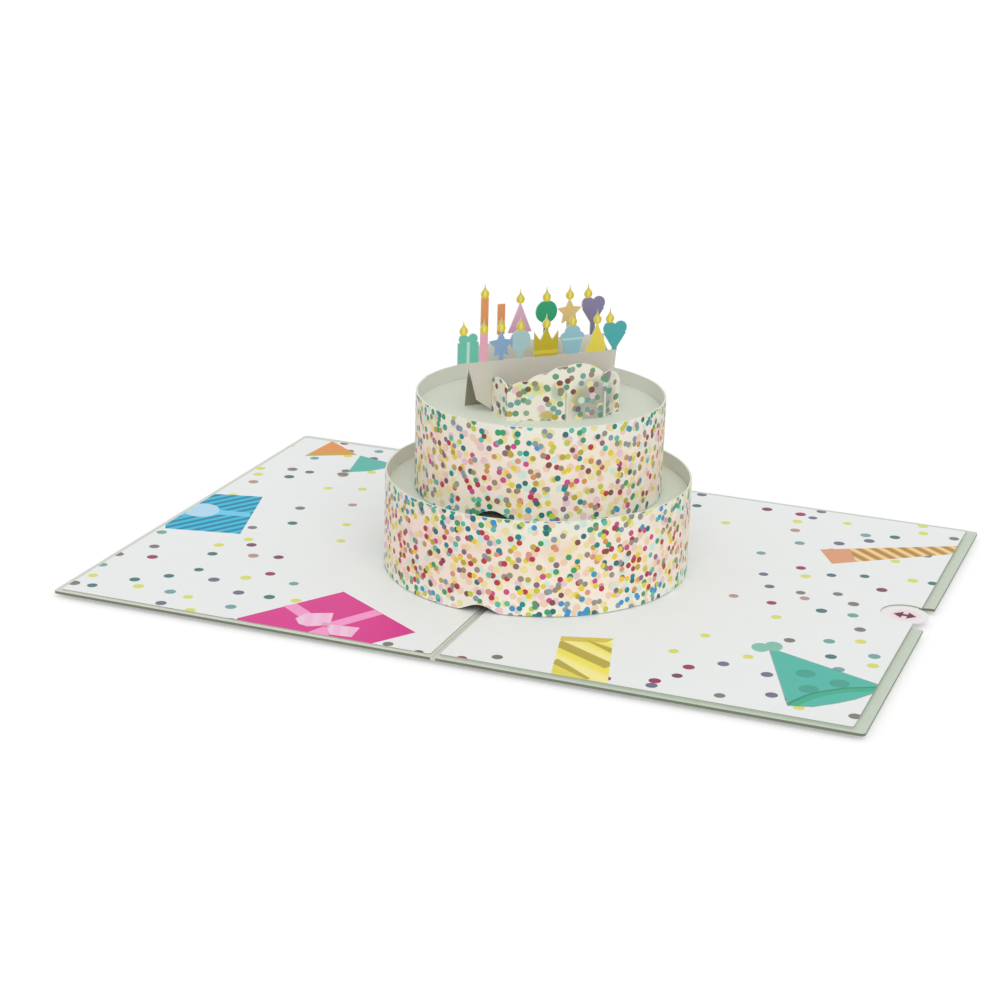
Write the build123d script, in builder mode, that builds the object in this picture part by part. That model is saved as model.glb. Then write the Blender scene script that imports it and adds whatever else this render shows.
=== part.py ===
from build123d import *
import os
from math import cos, hypot, pi, radians, sin

# A birthday pop up card, opened flat. A round cake of card in two tiers stands over the fold,
# with a small creased tier and two rows of candle toppers on top. Sizes are in millimetres.
# The origin is the middle of the fold, on the surface that the card lies on.
# +X runs along the right leaf, +Y to the back edge and +Z up.

os.makedirs("parts", exist_ok=True)

# Cover and printed panels
LEAF_WIDTH = 127.0
CARD_DEPTH = 177.8
COVER_THICKNESS = 0.8
COVER_CORNER = 1.2
FOLD_SCORE_WIDTH = 1.2
FOLD_SCORE_DEPTH = 0.25
BORDER = 1.8
POCKET_BORDER = 3.6
FOLD_STRIP = 3.0
LINER_THICKNESS = 0.3
LINER_CORNER = 0.8

# Pocket under the right panel, and the message card that slides in it
POCKET_GAP = 0.5
POCKET_STRIP_WIDTH = 7.0
MESSAGE_THICKNESS = 0.3
MESSAGE_SIDE_CLEARANCE = 0.8
MESSAGE_END_CLEARANCE = 2.0
MESSAGE_INSET = 1.0
MESSAGE_CORNER = 2.0
FINGER_TAB_RADIUS = 7.2
FINGER_TAB_INSET = 0.3
FINGER_TAB_Y = 1.8
PANEL_NOTCH_GAP = 0.4
THUMB_NOTCH_RADIUS = 9.4

# Cake
CAKE_Y = -3.3
WALL_THICKNESS = 0.6
LOWER_RADIUS = 49.0
LOWER_HEIGHT = 31.3
LOWER_NOTCH_WIDTH = 19.0
LOWER_NOTCH_HEIGHT = 2.9
UPPER_RADIUS = 39.6
UPPER_HEIGHT = 31.3
UPPER_NOTCH_WIDTH = 20.0
UPPER_NOTCH_HEIGHT = 3.9
RIM_DROP = 5.0
SEAM_GAP = 0.3
DISC_THICKNESS = 0.5
DISC_GAP = 0.2
DISC_SCORE_WIDTH = 0.5
DISC_SCORE_DEPTH = 0.15

# Slotted ribs under the discs
RIB_THICKNESS = 0.5
RIB_ANGLE = 45.0
SLOT_CLEARANCE = 0.1
RIB_TAB_LENGTH = 9.0
LOWER_TAB_PLACE_SHARE = 0.55
UPPER_TAB_PLACE_SHARE = 0.3

# Seam tabs, which join the two walls of a tier and glue them down
SEAM_TAB_THICKNESS = 0.4
SEAM_TAB_WIDTH = 13.0
SEAM_TAB_GAP = 0.1
SEAM_TAB_FOOT = 11.0
SEAM_TAB_TOP_CLEARANCE = 0.6

# Top tier: topper strips, creased walls and cross ribs
ROW_ANGLE = 45.0
STRIP_THICKNESS = 0.5
STRIP_HALF_LENGTH = 25.3
STRIP_SPACING = 9.0
FRONT_STRIP_HEIGHT = 16.5
BACK_STRIP_HEIGHT = 19.5
BACK_STEM_HEIGHT = 3.2
SEAT_GAP = 0.15
FRONT_BULGE = 17.3
BACK_BULGE = 12.0
TOP_TIER_HEIGHT = 19.0
TOP_WALL_THICKNESS = 0.5
CROSS_RIB_HEIGHT = 8.6
CROSS_RIB_POKE = 0.8

# Toppers
TOPPER_WIDTH = 8.2
TOPPER_HEIGHT = 9.7
TOPPER_ROOT = 0.4
CANDLE_WIDTH = 2.5
TALL_CANDLE_EXTRA = 2.6
STEM_WIDTH = 1.6
FLAME_WIDTH = 2.6
FLAME_HEIGHT = 4.7
FLAME_ROOT = 0.35

# One overrun serves all cuts
OVERRUN = 1.0

# Heights and places that follow from the sizes above
LEFT_FACE = COVER_THICKNESS + LINER_THICKNESS
POCKET_TOP = COVER_THICKNESS + POCKET_GAP
RIGHT_FACE = POCKET_TOP + LINER_THICKNESS
LOWER_RIM = LEFT_FACE + LOWER_HEIGHT
LOWER_FLOOR = LOWER_RIM - RIM_DROP
UPPER_RIM = LOWER_FLOOR + UPPER_HEIGHT
UPPER_FLOOR = UPPER_RIM - RIM_DROP
PANEL_DEPTH = CARD_DEPTH - 2 * BORDER
PANEL_START = FOLD_STRIP / 2
LEFT_PANEL_END = LEAF_WIDTH - BORDER
RIGHT_PANEL_END = LEAF_WIDTH - POCKET_BORDER
FINGER_TAB_X = LEAF_WIDTH - FINGER_TAB_INSET - FINGER_TAB_RADIUS
LOWER_INNER_RADIUS = LOWER_RADIUS - WALL_THICKNESS
UPPER_INNER_RADIUS = UPPER_RADIUS - WALL_THICKNESS
LOWER_TAB_PLACE = LOWER_INNER_RADIUS * LOWER_TAB_PLACE_SHARE
UPPER_TAB_PLACE = UPPER_INNER_RADIUS * UPPER_TAB_PLACE_SHARE

CENTRE_FRONT = (Align.CENTER, Align.MIN)
START_CENTRE = (Align.MIN, Align.CENTER)


def save(part, label):
    """Labels a finished piece and writes it to its own file."""
    part.label = label
    export_step(part, f"parts/{label}.step")


# Cover: one folded sheet with a scored fold and a half-round thumb notch
with BuildPart() as cover:
    with BuildSketch() as cover_outline:
        Rectangle(2 * LEAF_WIDTH, CARD_DEPTH)
        fillet(cover_outline.vertices(), COVER_CORNER)
        with Locations((LEAF_WIDTH, FINGER_TAB_Y)):
            Circle(THUMB_NOTCH_RADIUS, mode=Mode.SUBTRACT)
    extrude(amount=COVER_THICKNESS)
    with BuildSketch(Plane.XY.offset(COVER_THICKNESS)):
        Rectangle(FOLD_SCORE_WIDTH, CARD_DEPTH + 2 * OVERRUN)
    extrude(amount=-FOLD_SCORE_DEPTH, mode=Mode.SUBTRACT)
save(cover.part, "cover_card")


# Left printed panel, glued flat on the cover
with BuildPart() as left_panel:
    with BuildSketch(Plane.XY.offset(COVER_THICKNESS)) as left_outline:
        with Locations((-PANEL_START, 0)):
            Rectangle(LEFT_PANEL_END - PANEL_START, PANEL_DEPTH, align=(Align.MAX, Align.CENTER))
        fillet(left_outline.vertices(), LINER_CORNER)
    extrude(amount=LINER_THICKNESS)
save(left_panel.part, "left_panel")


# Right printed panel, the front of the pocket, notched round the finger tab
with BuildPart() as right_panel:
    with BuildSketch(Plane.XY.offset(POCKET_TOP)) as right_outline:
        with Locations((PANEL_START, 0)):
            Rectangle(RIGHT_PANEL_END - PANEL_START, PANEL_DEPTH, align=START_CENTRE)
        fillet(right_outline.vertices(), LINER_CORNER)
        with Locations((FINGER_TAB_X, FINGER_TAB_Y)):
            Circle(FINGER_TAB_RADIUS + PANEL_NOTCH_GAP, mode=Mode.SUBTRACT)
    extrude(amount=LINER_THICKNESS)
save(right_panel.part, "right_panel")


# Pocket strips, which hold the panel one message card's thickness off the cover
def pocket_strip(x, y, length, width, align):
    """A flat strip between the cover and the right panel, placed by the corner or side in align."""
    with BuildPart() as strip:
        with BuildSketch(Plane.XY.offset(COVER_THICKNESS)):
            with Locations((x, y)):
                Rectangle(length, width, align=align)
        extrude(amount=POCKET_GAP)
    return strip.part


SIDE_STRIP_LENGTH = RIGHT_PANEL_END - PANEL_START
FOLD_STRIP_LENGTH = PANEL_DEPTH - 2 * POCKET_STRIP_WIDTH
for side, label in ((-1, "pocket_strip_front"), (1, "pocket_strip_back")):
    strip_y = side * (PANEL_DEPTH - POCKET_STRIP_WIDTH) / 2
    save(pocket_strip(PANEL_START, strip_y, SIDE_STRIP_LENGTH, POCKET_STRIP_WIDTH, START_CENTRE), label)
save(pocket_strip(PANEL_START, 0, POCKET_STRIP_WIDTH, FOLD_STRIP_LENGTH, START_CENTRE), "pocket_strip_fold")


# Message card: a sheet with a round finger tab on its right edge
MESSAGE_START = PANEL_START + POCKET_STRIP_WIDTH + MESSAGE_END_CLEARANCE
MESSAGE_LENGTH = RIGHT_PANEL_END - MESSAGE_INSET - MESSAGE_START
MESSAGE_DEPTH = FOLD_STRIP_LENGTH - 2 * MESSAGE_SIDE_CLEARANCE
MESSAGE_BOTTOM = COVER_THICKNESS + (POCKET_GAP - MESSAGE_THICKNESS) / 2
with BuildPart() as message_card:
    with BuildSketch(Plane.XY.offset(MESSAGE_BOTTOM)) as message_outline:
        with Locations((MESSAGE_START, 0)):
            Rectangle(MESSAGE_LENGTH, MESSAGE_DEPTH, align=START_CENTRE)
        fillet(message_outline.vertices(), MESSAGE_CORNER)
        with Locations((FINGER_TAB_X, FINGER_TAB_Y)):
            Circle(FINGER_TAB_RADIUS)
    extrude(amount=MESSAGE_THICKNESS)
save(message_card.part, "message_card")


# The right panel stands higher than the left one, so what crosses the fold is cut up to it
with BuildPart() as pocket_step:
    with BuildSketch(Plane.XY.offset(LEFT_FACE)):
        with Locations((0, CAKE_Y)):
            Rectangle(LOWER_RADIUS + OVERRUN, 2 * (LOWER_RADIUS + OVERRUN), align=START_CENTRE)
    extrude(amount=RIGHT_FACE - LEFT_FACE)


# Tier walls: half rings of card, arched at the bottom where the fold passes under them. The arch's
# corners are shares of its width and height.
ARCH_SHARES = ((-0.5, 0), (-0.27, 0.44), (-0.1, 0.95), (0.1, 0.95), (0.27, 0.44), (0.5, 0))


def half_wall(radius, bottom, height, notch_width, notch_height, side):
    """The front (side -1) or back (side 1) half of a tier's wall."""
    with BuildPart() as wall:
        with BuildSketch(Plane.XY.offset(bottom)):
            with Locations((0, CAKE_Y)):
                Circle(radius)
                Circle(radius - WALL_THICKNESS, mode=Mode.SUBTRACT)
            with Locations((0, CAKE_Y + side * SEAM_GAP / 2)):
                keep = (Align.CENTER, Align.MIN if side > 0 else Align.MAX)
                Rectangle(2 * (radius + OVERRUN), radius + OVERRUN, align=keep, mode=Mode.INTERSECT)
        extrude(amount=height)
        with BuildSketch(Plane.XZ.offset(-CAKE_Y)):
            with BuildLine():
                Polyline(*[(x * notch_width, bottom + z * notch_height) for x, z in ARCH_SHARES], close=True)
            make_face()
        extrude(amount=-side * (radius + OVERRUN), mode=Mode.SUBTRACT)
        add(pocket_step.part, mode=Mode.SUBTRACT)
    return wall.part


for side, place in ((-1, "front"), (1, "back")):
    lower_sizes = (LOWER_RADIUS, LEFT_FACE, LOWER_HEIGHT, LOWER_NOTCH_WIDTH, LOWER_NOTCH_HEIGHT)
    save(half_wall(*lower_sizes, side), f"lower_wall_{place}")
    upper_sizes = (UPPER_RADIUS, LOWER_FLOOR, UPPER_HEIGHT, UPPER_NOTCH_WIDTH, UPPER_NOTCH_HEIGHT)
    save(half_wall(*upper_sizes, side), f"upper_wall_{place}")


# Discs: the tiers' tops, scored over the fold and slotted for the ribs' tabs
def disc(inner_radius, top, tab_place):
    """A disc that lies inside a wall, with its top face at the height given."""
    with BuildPart() as plate:
        with BuildSketch(Plane.XY.offset(top - DISC_THICKNESS)):
            with Locations((0, CAKE_Y)):
                Circle(inner_radius - DISC_GAP)
                with PolarLocations(tab_place, 4, start_angle=RIB_ANGLE):
                    Rectangle(
                        RIB_TAB_LENGTH + 2 * SLOT_CLEARANCE,
                        RIB_THICKNESS + 2 * SLOT_CLEARANCE,
                        mode=Mode.SUBTRACT,
                    )
        extrude(amount=DISC_THICKNESS)
        with BuildSketch(Plane.XY.offset(top)):
            with Locations((0, CAKE_Y)):
                Rectangle(DISC_SCORE_WIDTH, 2 * (inner_radius + OVERRUN))
        extrude(amount=-DISC_SCORE_DEPTH, mode=Mode.SUBTRACT)
    return plate.part


save(disc(LOWER_INNER_RADIUS, LOWER_FLOOR, LOWER_TAB_PLACE), "lower_disc")
save(disc(UPPER_INNER_RADIUS, UPPER_FLOOR, UPPER_TAB_PLACE), "upper_disc")


# Planes for upright sheets: local x runs along the sheet and local y is up
def sheet_plane(angle, across=0, bottom=0):
    """A vertical plane along a direction, moved sideways from the cake's centre line by across."""
    turn = radians(angle)
    origin = (across * sin(turn), CAKE_Y - across * cos(turn), bottom)
    return Plane(origin=origin, x_dir=(cos(turn), sin(turn), 0), z_dir=(sin(turn), -cos(turn), 0))


# Ribs: two upright sheets under each disc, which lap in half-height slots
def rib(inner_radius, bottom, top, tab_place, angle, slot_at_top):
    """One rib, with tabs that fill the slots of the disc on it."""
    height = top - bottom
    slot_height = height / 2 + SLOT_CLEARANCE
    slot_bottom = top - slot_height if slot_at_top else bottom
    with BuildPart() as sheet:
        with BuildSketch(sheet_plane(angle)):
            with Locations((0, bottom)):
                Rectangle(2 * (inner_radius - DISC_GAP), height, align=CENTRE_FRONT)
            with Locations((-tab_place, top), (tab_place, top)):
                Rectangle(RIB_TAB_LENGTH, DISC_THICKNESS, align=CENTRE_FRONT)
            with Locations((0, slot_bottom)):
                Rectangle(
                    RIB_THICKNESS + 2 * SLOT_CLEARANCE,
                    slot_height,
                    align=CENTRE_FRONT,
                    mode=Mode.SUBTRACT,
                )
        extrude(amount=RIB_THICKNESS / 2, both=True)
        add(pocket_step.part, mode=Mode.SUBTRACT)
    return sheet.part


LOWER_CEILING = LOWER_FLOOR - DISC_THICKNESS
UPPER_CEILING = UPPER_FLOOR - DISC_THICKNESS
for angle, slot_at_top, place in ((RIB_ANGLE, True, "right"), (-RIB_ANGLE, False, "left")):
    lower_rib = rib(LOWER_INNER_RADIUS, LEFT_FACE, LOWER_CEILING, LOWER_TAB_PLACE, angle, slot_at_top)
    save(lower_rib, f"lower_rib_{place}")
    upper_rib = rib(UPPER_INNER_RADIUS, LOWER_FLOOR, UPPER_CEILING, UPPER_TAB_PLACE, angle, slot_at_top)
    save(upper_rib, f"upper_rib_{place}")


# Seam tabs: an upright leaf behind each seam and a foot that is glued down inside the tier
def seam_tab(inner_radius, bottom, ceiling, side):
    """The tab at the left (side -1) or right (side 1) seam of a tier."""
    outer = inner_radius - SEAM_TAB_GAP
    half = (Align.MIN if side > 0 else Align.MAX, Align.CENTER)
    with BuildPart() as tab:
        with BuildSketch(Plane.XY.offset(bottom)):
            with Locations((0, CAKE_Y)):
                Circle(outer)
                Circle(outer - SEAM_TAB_THICKNESS, mode=Mode.SUBTRACT)
                Rectangle(outer + OVERRUN, SEAM_TAB_WIDTH, align=half, mode=Mode.INTERSECT)
        extrude(amount=ceiling - bottom - SEAM_TAB_TOP_CLEARANCE)
        with BuildSketch(Plane.XY.offset(bottom)):
            with Locations((0, CAKE_Y)):
                Circle(outer)
                Rectangle(outer + OVERRUN, SEAM_TAB_WIDTH, align=half, mode=Mode.INTERSECT)
                Rectangle(outer - SEAM_TAB_FOOT, SEAM_TAB_WIDTH, align=half, mode=Mode.SUBTRACT)
        extrude(amount=SEAM_TAB_THICKNESS)
    return tab.part


for side, lower_bottom, place in ((-1, LEFT_FACE, "left"), (1, RIGHT_FACE, "right")):
    save(seam_tab(LOWER_INNER_RADIUS, lower_bottom, LOWER_CEILING, side), f"lower_seam_tab_{place}")
    save(seam_tab(UPPER_INNER_RADIUS, LOWER_FLOOR, UPPER_CEILING, side), f"upper_seam_tab_{place}")


# Topper shapes, each drawn on its own with its foot at the origin
FLAME_BELLY_SHARE = 0.36
FLAME_BELLY = FLAME_HEIGHT * FLAME_BELLY_SHARE
with BuildSketch() as flame_shape:
    with BuildLine():
        Spline((0, 0), (FLAME_WIDTH / 2, FLAME_BELLY), (0, FLAME_HEIGHT), tangents=[(1, 0), (0, 1)])
        Spline((0, FLAME_HEIGHT), (-FLAME_WIDTH / 2, FLAME_BELLY), (0, 0), tangents=[(0, -1), (1, 0)])
    make_face()

with BuildSketch() as candle_shape:
    Rectangle(CANDLE_WIDTH, TOPPER_HEIGHT, align=CENTRE_FRONT)

CANDLE_PAIR_PLACE = (TOPPER_WIDTH - CANDLE_WIDTH) / 2
with BuildSketch() as candle_pair_shape:
    with Locations((-CANDLE_PAIR_PLACE, 0)):
        Rectangle(CANDLE_WIDTH, TOPPER_HEIGHT + TALL_CANDLE_EXTRA, align=CENTRE_FRONT)
    with Locations((CANDLE_PAIR_PLACE, 0)):
        Rectangle(CANDLE_WIDTH, TOPPER_HEIGHT, align=CENTRE_FRONT)

GIFT_WIDTH_SHARE = 0.84
GIFT_HEIGHT_SHARE = 0.72
BOW_SHARE = 0.19
GIFT_HEIGHT = TOPPER_HEIGHT * GIFT_HEIGHT_SHARE
BOW_RADIUS = TOPPER_WIDTH * BOW_SHARE
with BuildSketch() as gift_shape:
    Rectangle(TOPPER_WIDTH * GIFT_WIDTH_SHARE, GIFT_HEIGHT, align=CENTRE_FRONT)
    with Locations((-BOW_RADIUS, TOPPER_HEIGHT - BOW_RADIUS), (BOW_RADIUS, TOPPER_HEIGHT - BOW_RADIUS)):
        Circle(BOW_RADIUS)
    with Locations((0, GIFT_HEIGHT)):
        Rectangle(2 * BOW_RADIUS, BOW_RADIUS, align=CENTRE_FRONT)

with BuildSketch() as hat_shape:
    with BuildLine():
        Polyline((-TOPPER_WIDTH / 2, 0), (TOPPER_WIDTH / 2, 0), (0, TOPPER_HEIGHT), close=True)
    make_face()

STAR_POINTS = 5
STAR_RADIUS_SHARE = 0.54
STAR_WAIST_SHARE = 0.5
STAR_RADIUS = TOPPER_WIDTH * STAR_RADIUS_SHARE
STAR_CENTRE = TOPPER_HEIGHT - STAR_RADIUS
star_corners = []
for corner in range(2 * STAR_POINTS):
    reach = STAR_RADIUS * (STAR_WAIST_SHARE if corner % 2 else 1)
    turn = pi / 2 + corner * pi / STAR_POINTS
    star_corners.append((reach * cos(turn), STAR_CENTRE + reach * sin(turn)))
with BuildSketch() as star_shape:
    with BuildLine():
        Polyline(*star_corners, close=True)
    make_face()
    Rectangle(STEM_WIDTH, STAR_CENTRE, align=CENTRE_FRONT)

BALLOON_WIDTH_SHARE = 0.84
BALLOON_HEIGHT_SHARE = 0.74
BALLOON_HEIGHT = TOPPER_HEIGHT * BALLOON_HEIGHT_SHARE
BALLOON_CENTRE = TOPPER_HEIGHT - BALLOON_HEIGHT / 2
with BuildSketch() as balloon_shape:
    with Locations((0, BALLOON_CENTRE)):
        Ellipse(TOPPER_WIDTH * BALLOON_WIDTH_SHARE / 2, BALLOON_HEIGHT / 2)
    Rectangle(STEM_WIDTH, BALLOON_CENTRE, align=CENTRE_FRONT)

LOLLIPOP_RADIUS_SHARE = 0.45
LOLLIPOP_RADIUS = TOPPER_WIDTH * LOLLIPOP_RADIUS_SHARE
with BuildSketch() as lollipop_shape:
    with Locations((0, TOPPER_HEIGHT - LOLLIPOP_RADIUS)):
        Circle(LOLLIPOP_RADIUS)
    Rectangle(STEM_WIDTH, TOPPER_HEIGHT - LOLLIPOP_RADIUS, align=CENTRE_FRONT)

CROWN_SHARES = ((-0.5, 0), (0.5, 0), (0.5, 0.86), (0.25, 0.55), (0, 1), (-0.25, 0.55), (-0.5, 0.86))
with BuildSketch() as crown_shape:
    with BuildLine():
        Polyline(*[(x * TOPPER_WIDTH, y * TOPPER_HEIGHT) for x, y in CROWN_SHARES], close=True)
    make_face()

CUP_SHARES = ((-0.27, 0), (0.27, 0), (0.42, 0.5), (-0.42, 0.5))
# The icing's two mounds: height of the centre, half width and half height
MOUND_SHARES = ((0.62, 0.5, 0.2), (0.79, 0.32, 0.21))
with BuildSketch() as cupcake_shape:
    with BuildLine():
        Polyline(*[(x * TOPPER_WIDTH, y * TOPPER_HEIGHT) for x, y in CUP_SHARES], close=True)
    make_face()
    for centre_share, width_share, height_share in MOUND_SHARES:
        with Locations((0, TOPPER_HEIGHT * centre_share)):
            Ellipse(TOPPER_WIDTH * width_share, TOPPER_HEIGHT * height_share)

# The heart is two lobes over a point, with a dip between the lobes
HEART_LOBE_SHARE = 0.27
HEART_WAIST_SHARES = (0.47, 0.6)
HEART_LOBE = TOPPER_WIDTH * HEART_LOBE_SHARE
HEART_LOBE_X = TOPPER_WIDTH / 2 - HEART_LOBE
HEART_LOBE_Y = TOPPER_HEIGHT - HEART_LOBE
HEART_WAIST_X = TOPPER_WIDTH * HEART_WAIST_SHARES[0]
HEART_WAIST_Y = TOPPER_HEIGHT * HEART_WAIST_SHARES[1]
with BuildSketch() as heart_shape:
    with Locations((-HEART_LOBE_X, HEART_LOBE_Y), (HEART_LOBE_X, HEART_LOBE_Y)):
        Circle(HEART_LOBE)
    with BuildLine():
        Polyline(
            (0, 0),
            (HEART_WAIST_X, HEART_WAIST_Y),
            (0, HEART_LOBE_Y),
            (-HEART_WAIST_X, HEART_WAIST_Y),
            close=True,
        )
    make_face()
    Rectangle(STEM_WIDTH, HEART_LOBE_Y, align=CENTRE_FRONT)

# Each row of toppers: shape, its place as a share of the strip's half length, its flame's sideways place,
# the height of the flame's foot, and the sideways places of the stems that lift it off the strip
FRONT_ROW_SHARES = (
    (gift_shape, -1.0, -BOW_RADIUS, TOPPER_HEIGHT, ()),
    (candle_shape, -0.79, 0, TOPPER_HEIGHT, ()),
    (star_shape, -0.56, 0, TOPPER_HEIGHT, ()),
    (balloon_shape, -0.30, 0, TOPPER_HEIGHT, ()),
    (crown_shape, 0.05, 0, TOPPER_HEIGHT, ()),
    (cupcake_shape, 0.41, 0, TOPPER_HEIGHT, ()),
    (hat_shape, 0.75, 0, TOPPER_HEIGHT, ()),
    (heart_shape, 1.0, -HEART_LOBE_X, TOPPER_HEIGHT, ()),
)
PAIR_STEMS = (-CANDLE_PAIR_PLACE, CANDLE_PAIR_PLACE)
BACK_ROW_SHARES = (
    (candle_pair_shape, -0.52, -CANDLE_PAIR_PLACE, TOPPER_HEIGHT + TALL_CANDLE_EXTRA, PAIR_STEMS),
    (hat_shape, -0.15, 0, TOPPER_HEIGHT, (0,)),
    (lollipop_shape, 0.21, 0, TOPPER_HEIGHT, (0,)),
    (star_shape, 0.53, 0, TOPPER_HEIGHT, (0,)),
    (heart_shape, 0.86, -HEART_LOBE_X, TOPPER_HEIGHT, (0,)),
)

# Outlines of the two strips, as shares of the half length and of the strip's height
FRONT_STRIP_SHARES = ((-1.0, 1.0), (-0.87, 0.26), (-0.62, 0), (0.97, 0), (1.03, 1.0))
BACK_STRIP_SHARES = ((-0.69, 1.0), (-0.84, 0.66), (-0.88, 0), (1.03, 0), (1.03, 1.0))

# Cross ribs stand at right angles to the strips, at these shares of the strip's half length
CROSS_RIB_PLACE_SHARES = (-0.44, 0.045, 0.54)
LAP_HEIGHT = CROSS_RIB_HEIGHT / 2 + SLOT_CLEARANCE


def topper_strip(across, height, stem_height, outline_shares, row):
    """A die-cut strip with its row of toppers, slotted from below for the cross ribs."""
    with BuildPart() as strip:
        with BuildSketch(sheet_plane(ROW_ANGLE, across, UPPER_FLOOR)):
            with BuildLine():
                Polyline(*[(x * STRIP_HALF_LENGTH, y * height) for x, y in outline_shares], close=True)
            make_face()
            for shape, place_share, flame_place, flame_foot, stem_places in row:
                place = place_share * STRIP_HALF_LENGTH
                foot = height + stem_height - TOPPER_ROOT
                with Locations((place, foot)):
                    add(shape.sketch)
                with Locations((place + flame_place, foot + flame_foot - FLAME_ROOT)):
                    add(flame_shape.sketch)
                for stem_place in stem_places:
                    with Locations((place + stem_place, height - TOPPER_ROOT)):
                        Rectangle(STEM_WIDTH, stem_height + TOPPER_ROOT, align=CENTRE_FRONT)
            for rib_share in CROSS_RIB_PLACE_SHARES:
                with Locations((rib_share * STRIP_HALF_LENGTH, 0)):
                    Rectangle(
                        RIB_THICKNESS + 2 * SLOT_CLEARANCE,
                        LAP_HEIGHT,
                        align=CENTRE_FRONT,
                        mode=Mode.SUBTRACT,
                    )
        extrude(amount=STRIP_THICKNESS / 2, both=True)
    return strip.part


front_strip = topper_strip(0, FRONT_STRIP_HEIGHT, 0, FRONT_STRIP_SHARES, FRONT_ROW_SHARES)
save(front_strip, "front_topper_strip")
back_strip = topper_strip(
    -STRIP_SPACING, BACK_STRIP_HEIGHT, BACK_STEM_HEIGHT, BACK_STRIP_SHARES, BACK_ROW_SHARES
)
save(back_strip, "back_topper_strip")


# Top tier walls: each is one strip with upright creases and a wavy top edge
def row_point(along, across):
    """A point on the upper disc, from its places along and across the topper rows."""
    turn = radians(ROW_ANGLE)
    x = along * cos(turn) + across * sin(turn)
    y = CAKE_Y + along * sin(turn) - across * cos(turn)
    return x, y


# Corners of the walls, left to right for the front and right to left for the back: places along the
# rows as shares of the strip's half length, and out from the strip as shares of the bulge. Heights are
# shares of the top tier's height. Waves and rises belong to the stretch that starts at the corner.
FRONT_WALL_SHARES = (
    (-0.67, 0, 0.57, 1, 0.09),
    (-0.64, 0.59, 0.53, 3, 0.04),
    (0.045, 0.96, 0.92, 1, 0.1),
    (0.54, 1.0, 0.75, 1, 0.1),
    (0.85, 0.71, 0.55, 2, 0.04),
    (0.95, 0, 0.5, 0, 0),
)
BACK_WALL_SHARES = (
    (0.92, 0, 0.55, 1, 0.04),
    (0.66, 0.72, 0.60, 2, 0.04),
    (0.05, 1.0, 0.60, 2, 0.04),
    (-0.50, 0.72, 0.60, 1, 0.04),
    (-0.67, 0, 0.55, 0, 0),
)
STRIP_FACE = STRIP_THICKNESS / 2 + SEAT_GAP


def wall_corners(shares, strip_across, bulge):
    """The corners' places along and across the rows, for a wall that starts and ends at a strip."""
    return [(row[0] * STRIP_HALF_LENGTH, strip_across + row[1] * bulge) for row in shares]


FRONT_CORNERS = wall_corners(FRONT_WALL_SHARES, 0, FRONT_BULGE)
BACK_CORNERS = wall_corners(BACK_WALL_SHARES, -STRIP_SPACING, -BACK_BULGE)


def creased_wall(corners, shares, strip_across, rib_places):
    """A wall of flat stretches between upright creases, trimmed at its strip's face, with a slot for
    the end of each rib in rib_places."""
    with BuildPart() as wall:
        for start, end, row, following in zip(corners, corners[1:], shares, shares[1:]):
            x0, y0 = row_point(*start)
            x1, y1 = row_point(*end)
            length = hypot(x1 - x0, y1 - y0)
            heights = (row[2] * TOP_TIER_HEIGHT, following[2] * TOP_TIER_HEIGHT)
            waves = row[3]
            rise = row[4] * TOP_TIER_HEIGHT
            along = ((x1 - x0) / length, (y1 - y0) / length, 0)
            outward = (along[1], -along[0], 0)
            with BuildSketch(Plane(origin=(x0, y0, UPPER_FLOOR), x_dir=along, z_dir=outward)):
                with BuildLine():
                    Polyline((0, heights[0]), (0, 0), (length, 0), (length, heights[1]))
                    for wave in range(waves):
                        share_from = wave / waves
                        share_to = (wave + 1) / waves
                        low = heights[0] + (heights[1] - heights[0]) * share_from
                        high = heights[0] + (heights[1] - heights[0]) * share_to
                        middle = (length * (share_from + share_to) / 2, (low + high) / 2 + rise)
                        ThreePointArc((length * share_from, low), middle, (length * share_to, high))
                make_face()
            extrude(amount=-TOP_WALL_THICKNESS)
        with BuildSketch(sheet_plane(ROW_ANGLE, strip_across, UPPER_FLOOR)):
            Rectangle(2 * (STRIP_HALF_LENGTH + OVERRUN), TOP_TIER_HEIGHT, align=CENTRE_FRONT)
        extrude(amount=STRIP_FACE, both=True, mode=Mode.SUBTRACT)
        for rib_place in rib_places:
            with BuildSketch(sheet_plane(ROW_ANGLE, 0, UPPER_FLOOR)):
                with Locations((rib_place, 0)):
                    Rectangle(
                        RIB_THICKNESS + 2 * SLOT_CLEARANCE,
                        CROSS_RIB_HEIGHT + SLOT_CLEARANCE,
                        align=CENTRE_FRONT,
                    )
            extrude(amount=FRONT_BULGE + OVERRUN, mode=Mode.SUBTRACT)
    return wall.part


POKING_RIBS = [share * STRIP_HALF_LENGTH for share in CROSS_RIB_PLACE_SHARES[1:]]
save(creased_wall(FRONT_CORNERS, FRONT_WALL_SHARES, 0, POKING_RIBS), "top_wall_front")
save(creased_wall(BACK_CORNERS, BACK_WALL_SHARES, -STRIP_SPACING, ()), "top_wall_back")


# Cross ribs: slotted from above for both strips, each as long as the walls leave room for
def wall_reach(corners, along):
    """How far across the rows a wall's outer face lies, at a place along them."""
    for (a0, c0), (a1, c1) in zip(corners, corners[1:]):
        if min(a0, a1) <= along <= max(a0, a1) and a0 != a1:
            return c0 + (c1 - c0) * (along - a0) / (a1 - a0)
    return corners[0][1]


RIB_END_CLEARANCE = TOP_WALL_THICKNESS + SEAT_GAP + RIB_THICKNESS / 2


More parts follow.
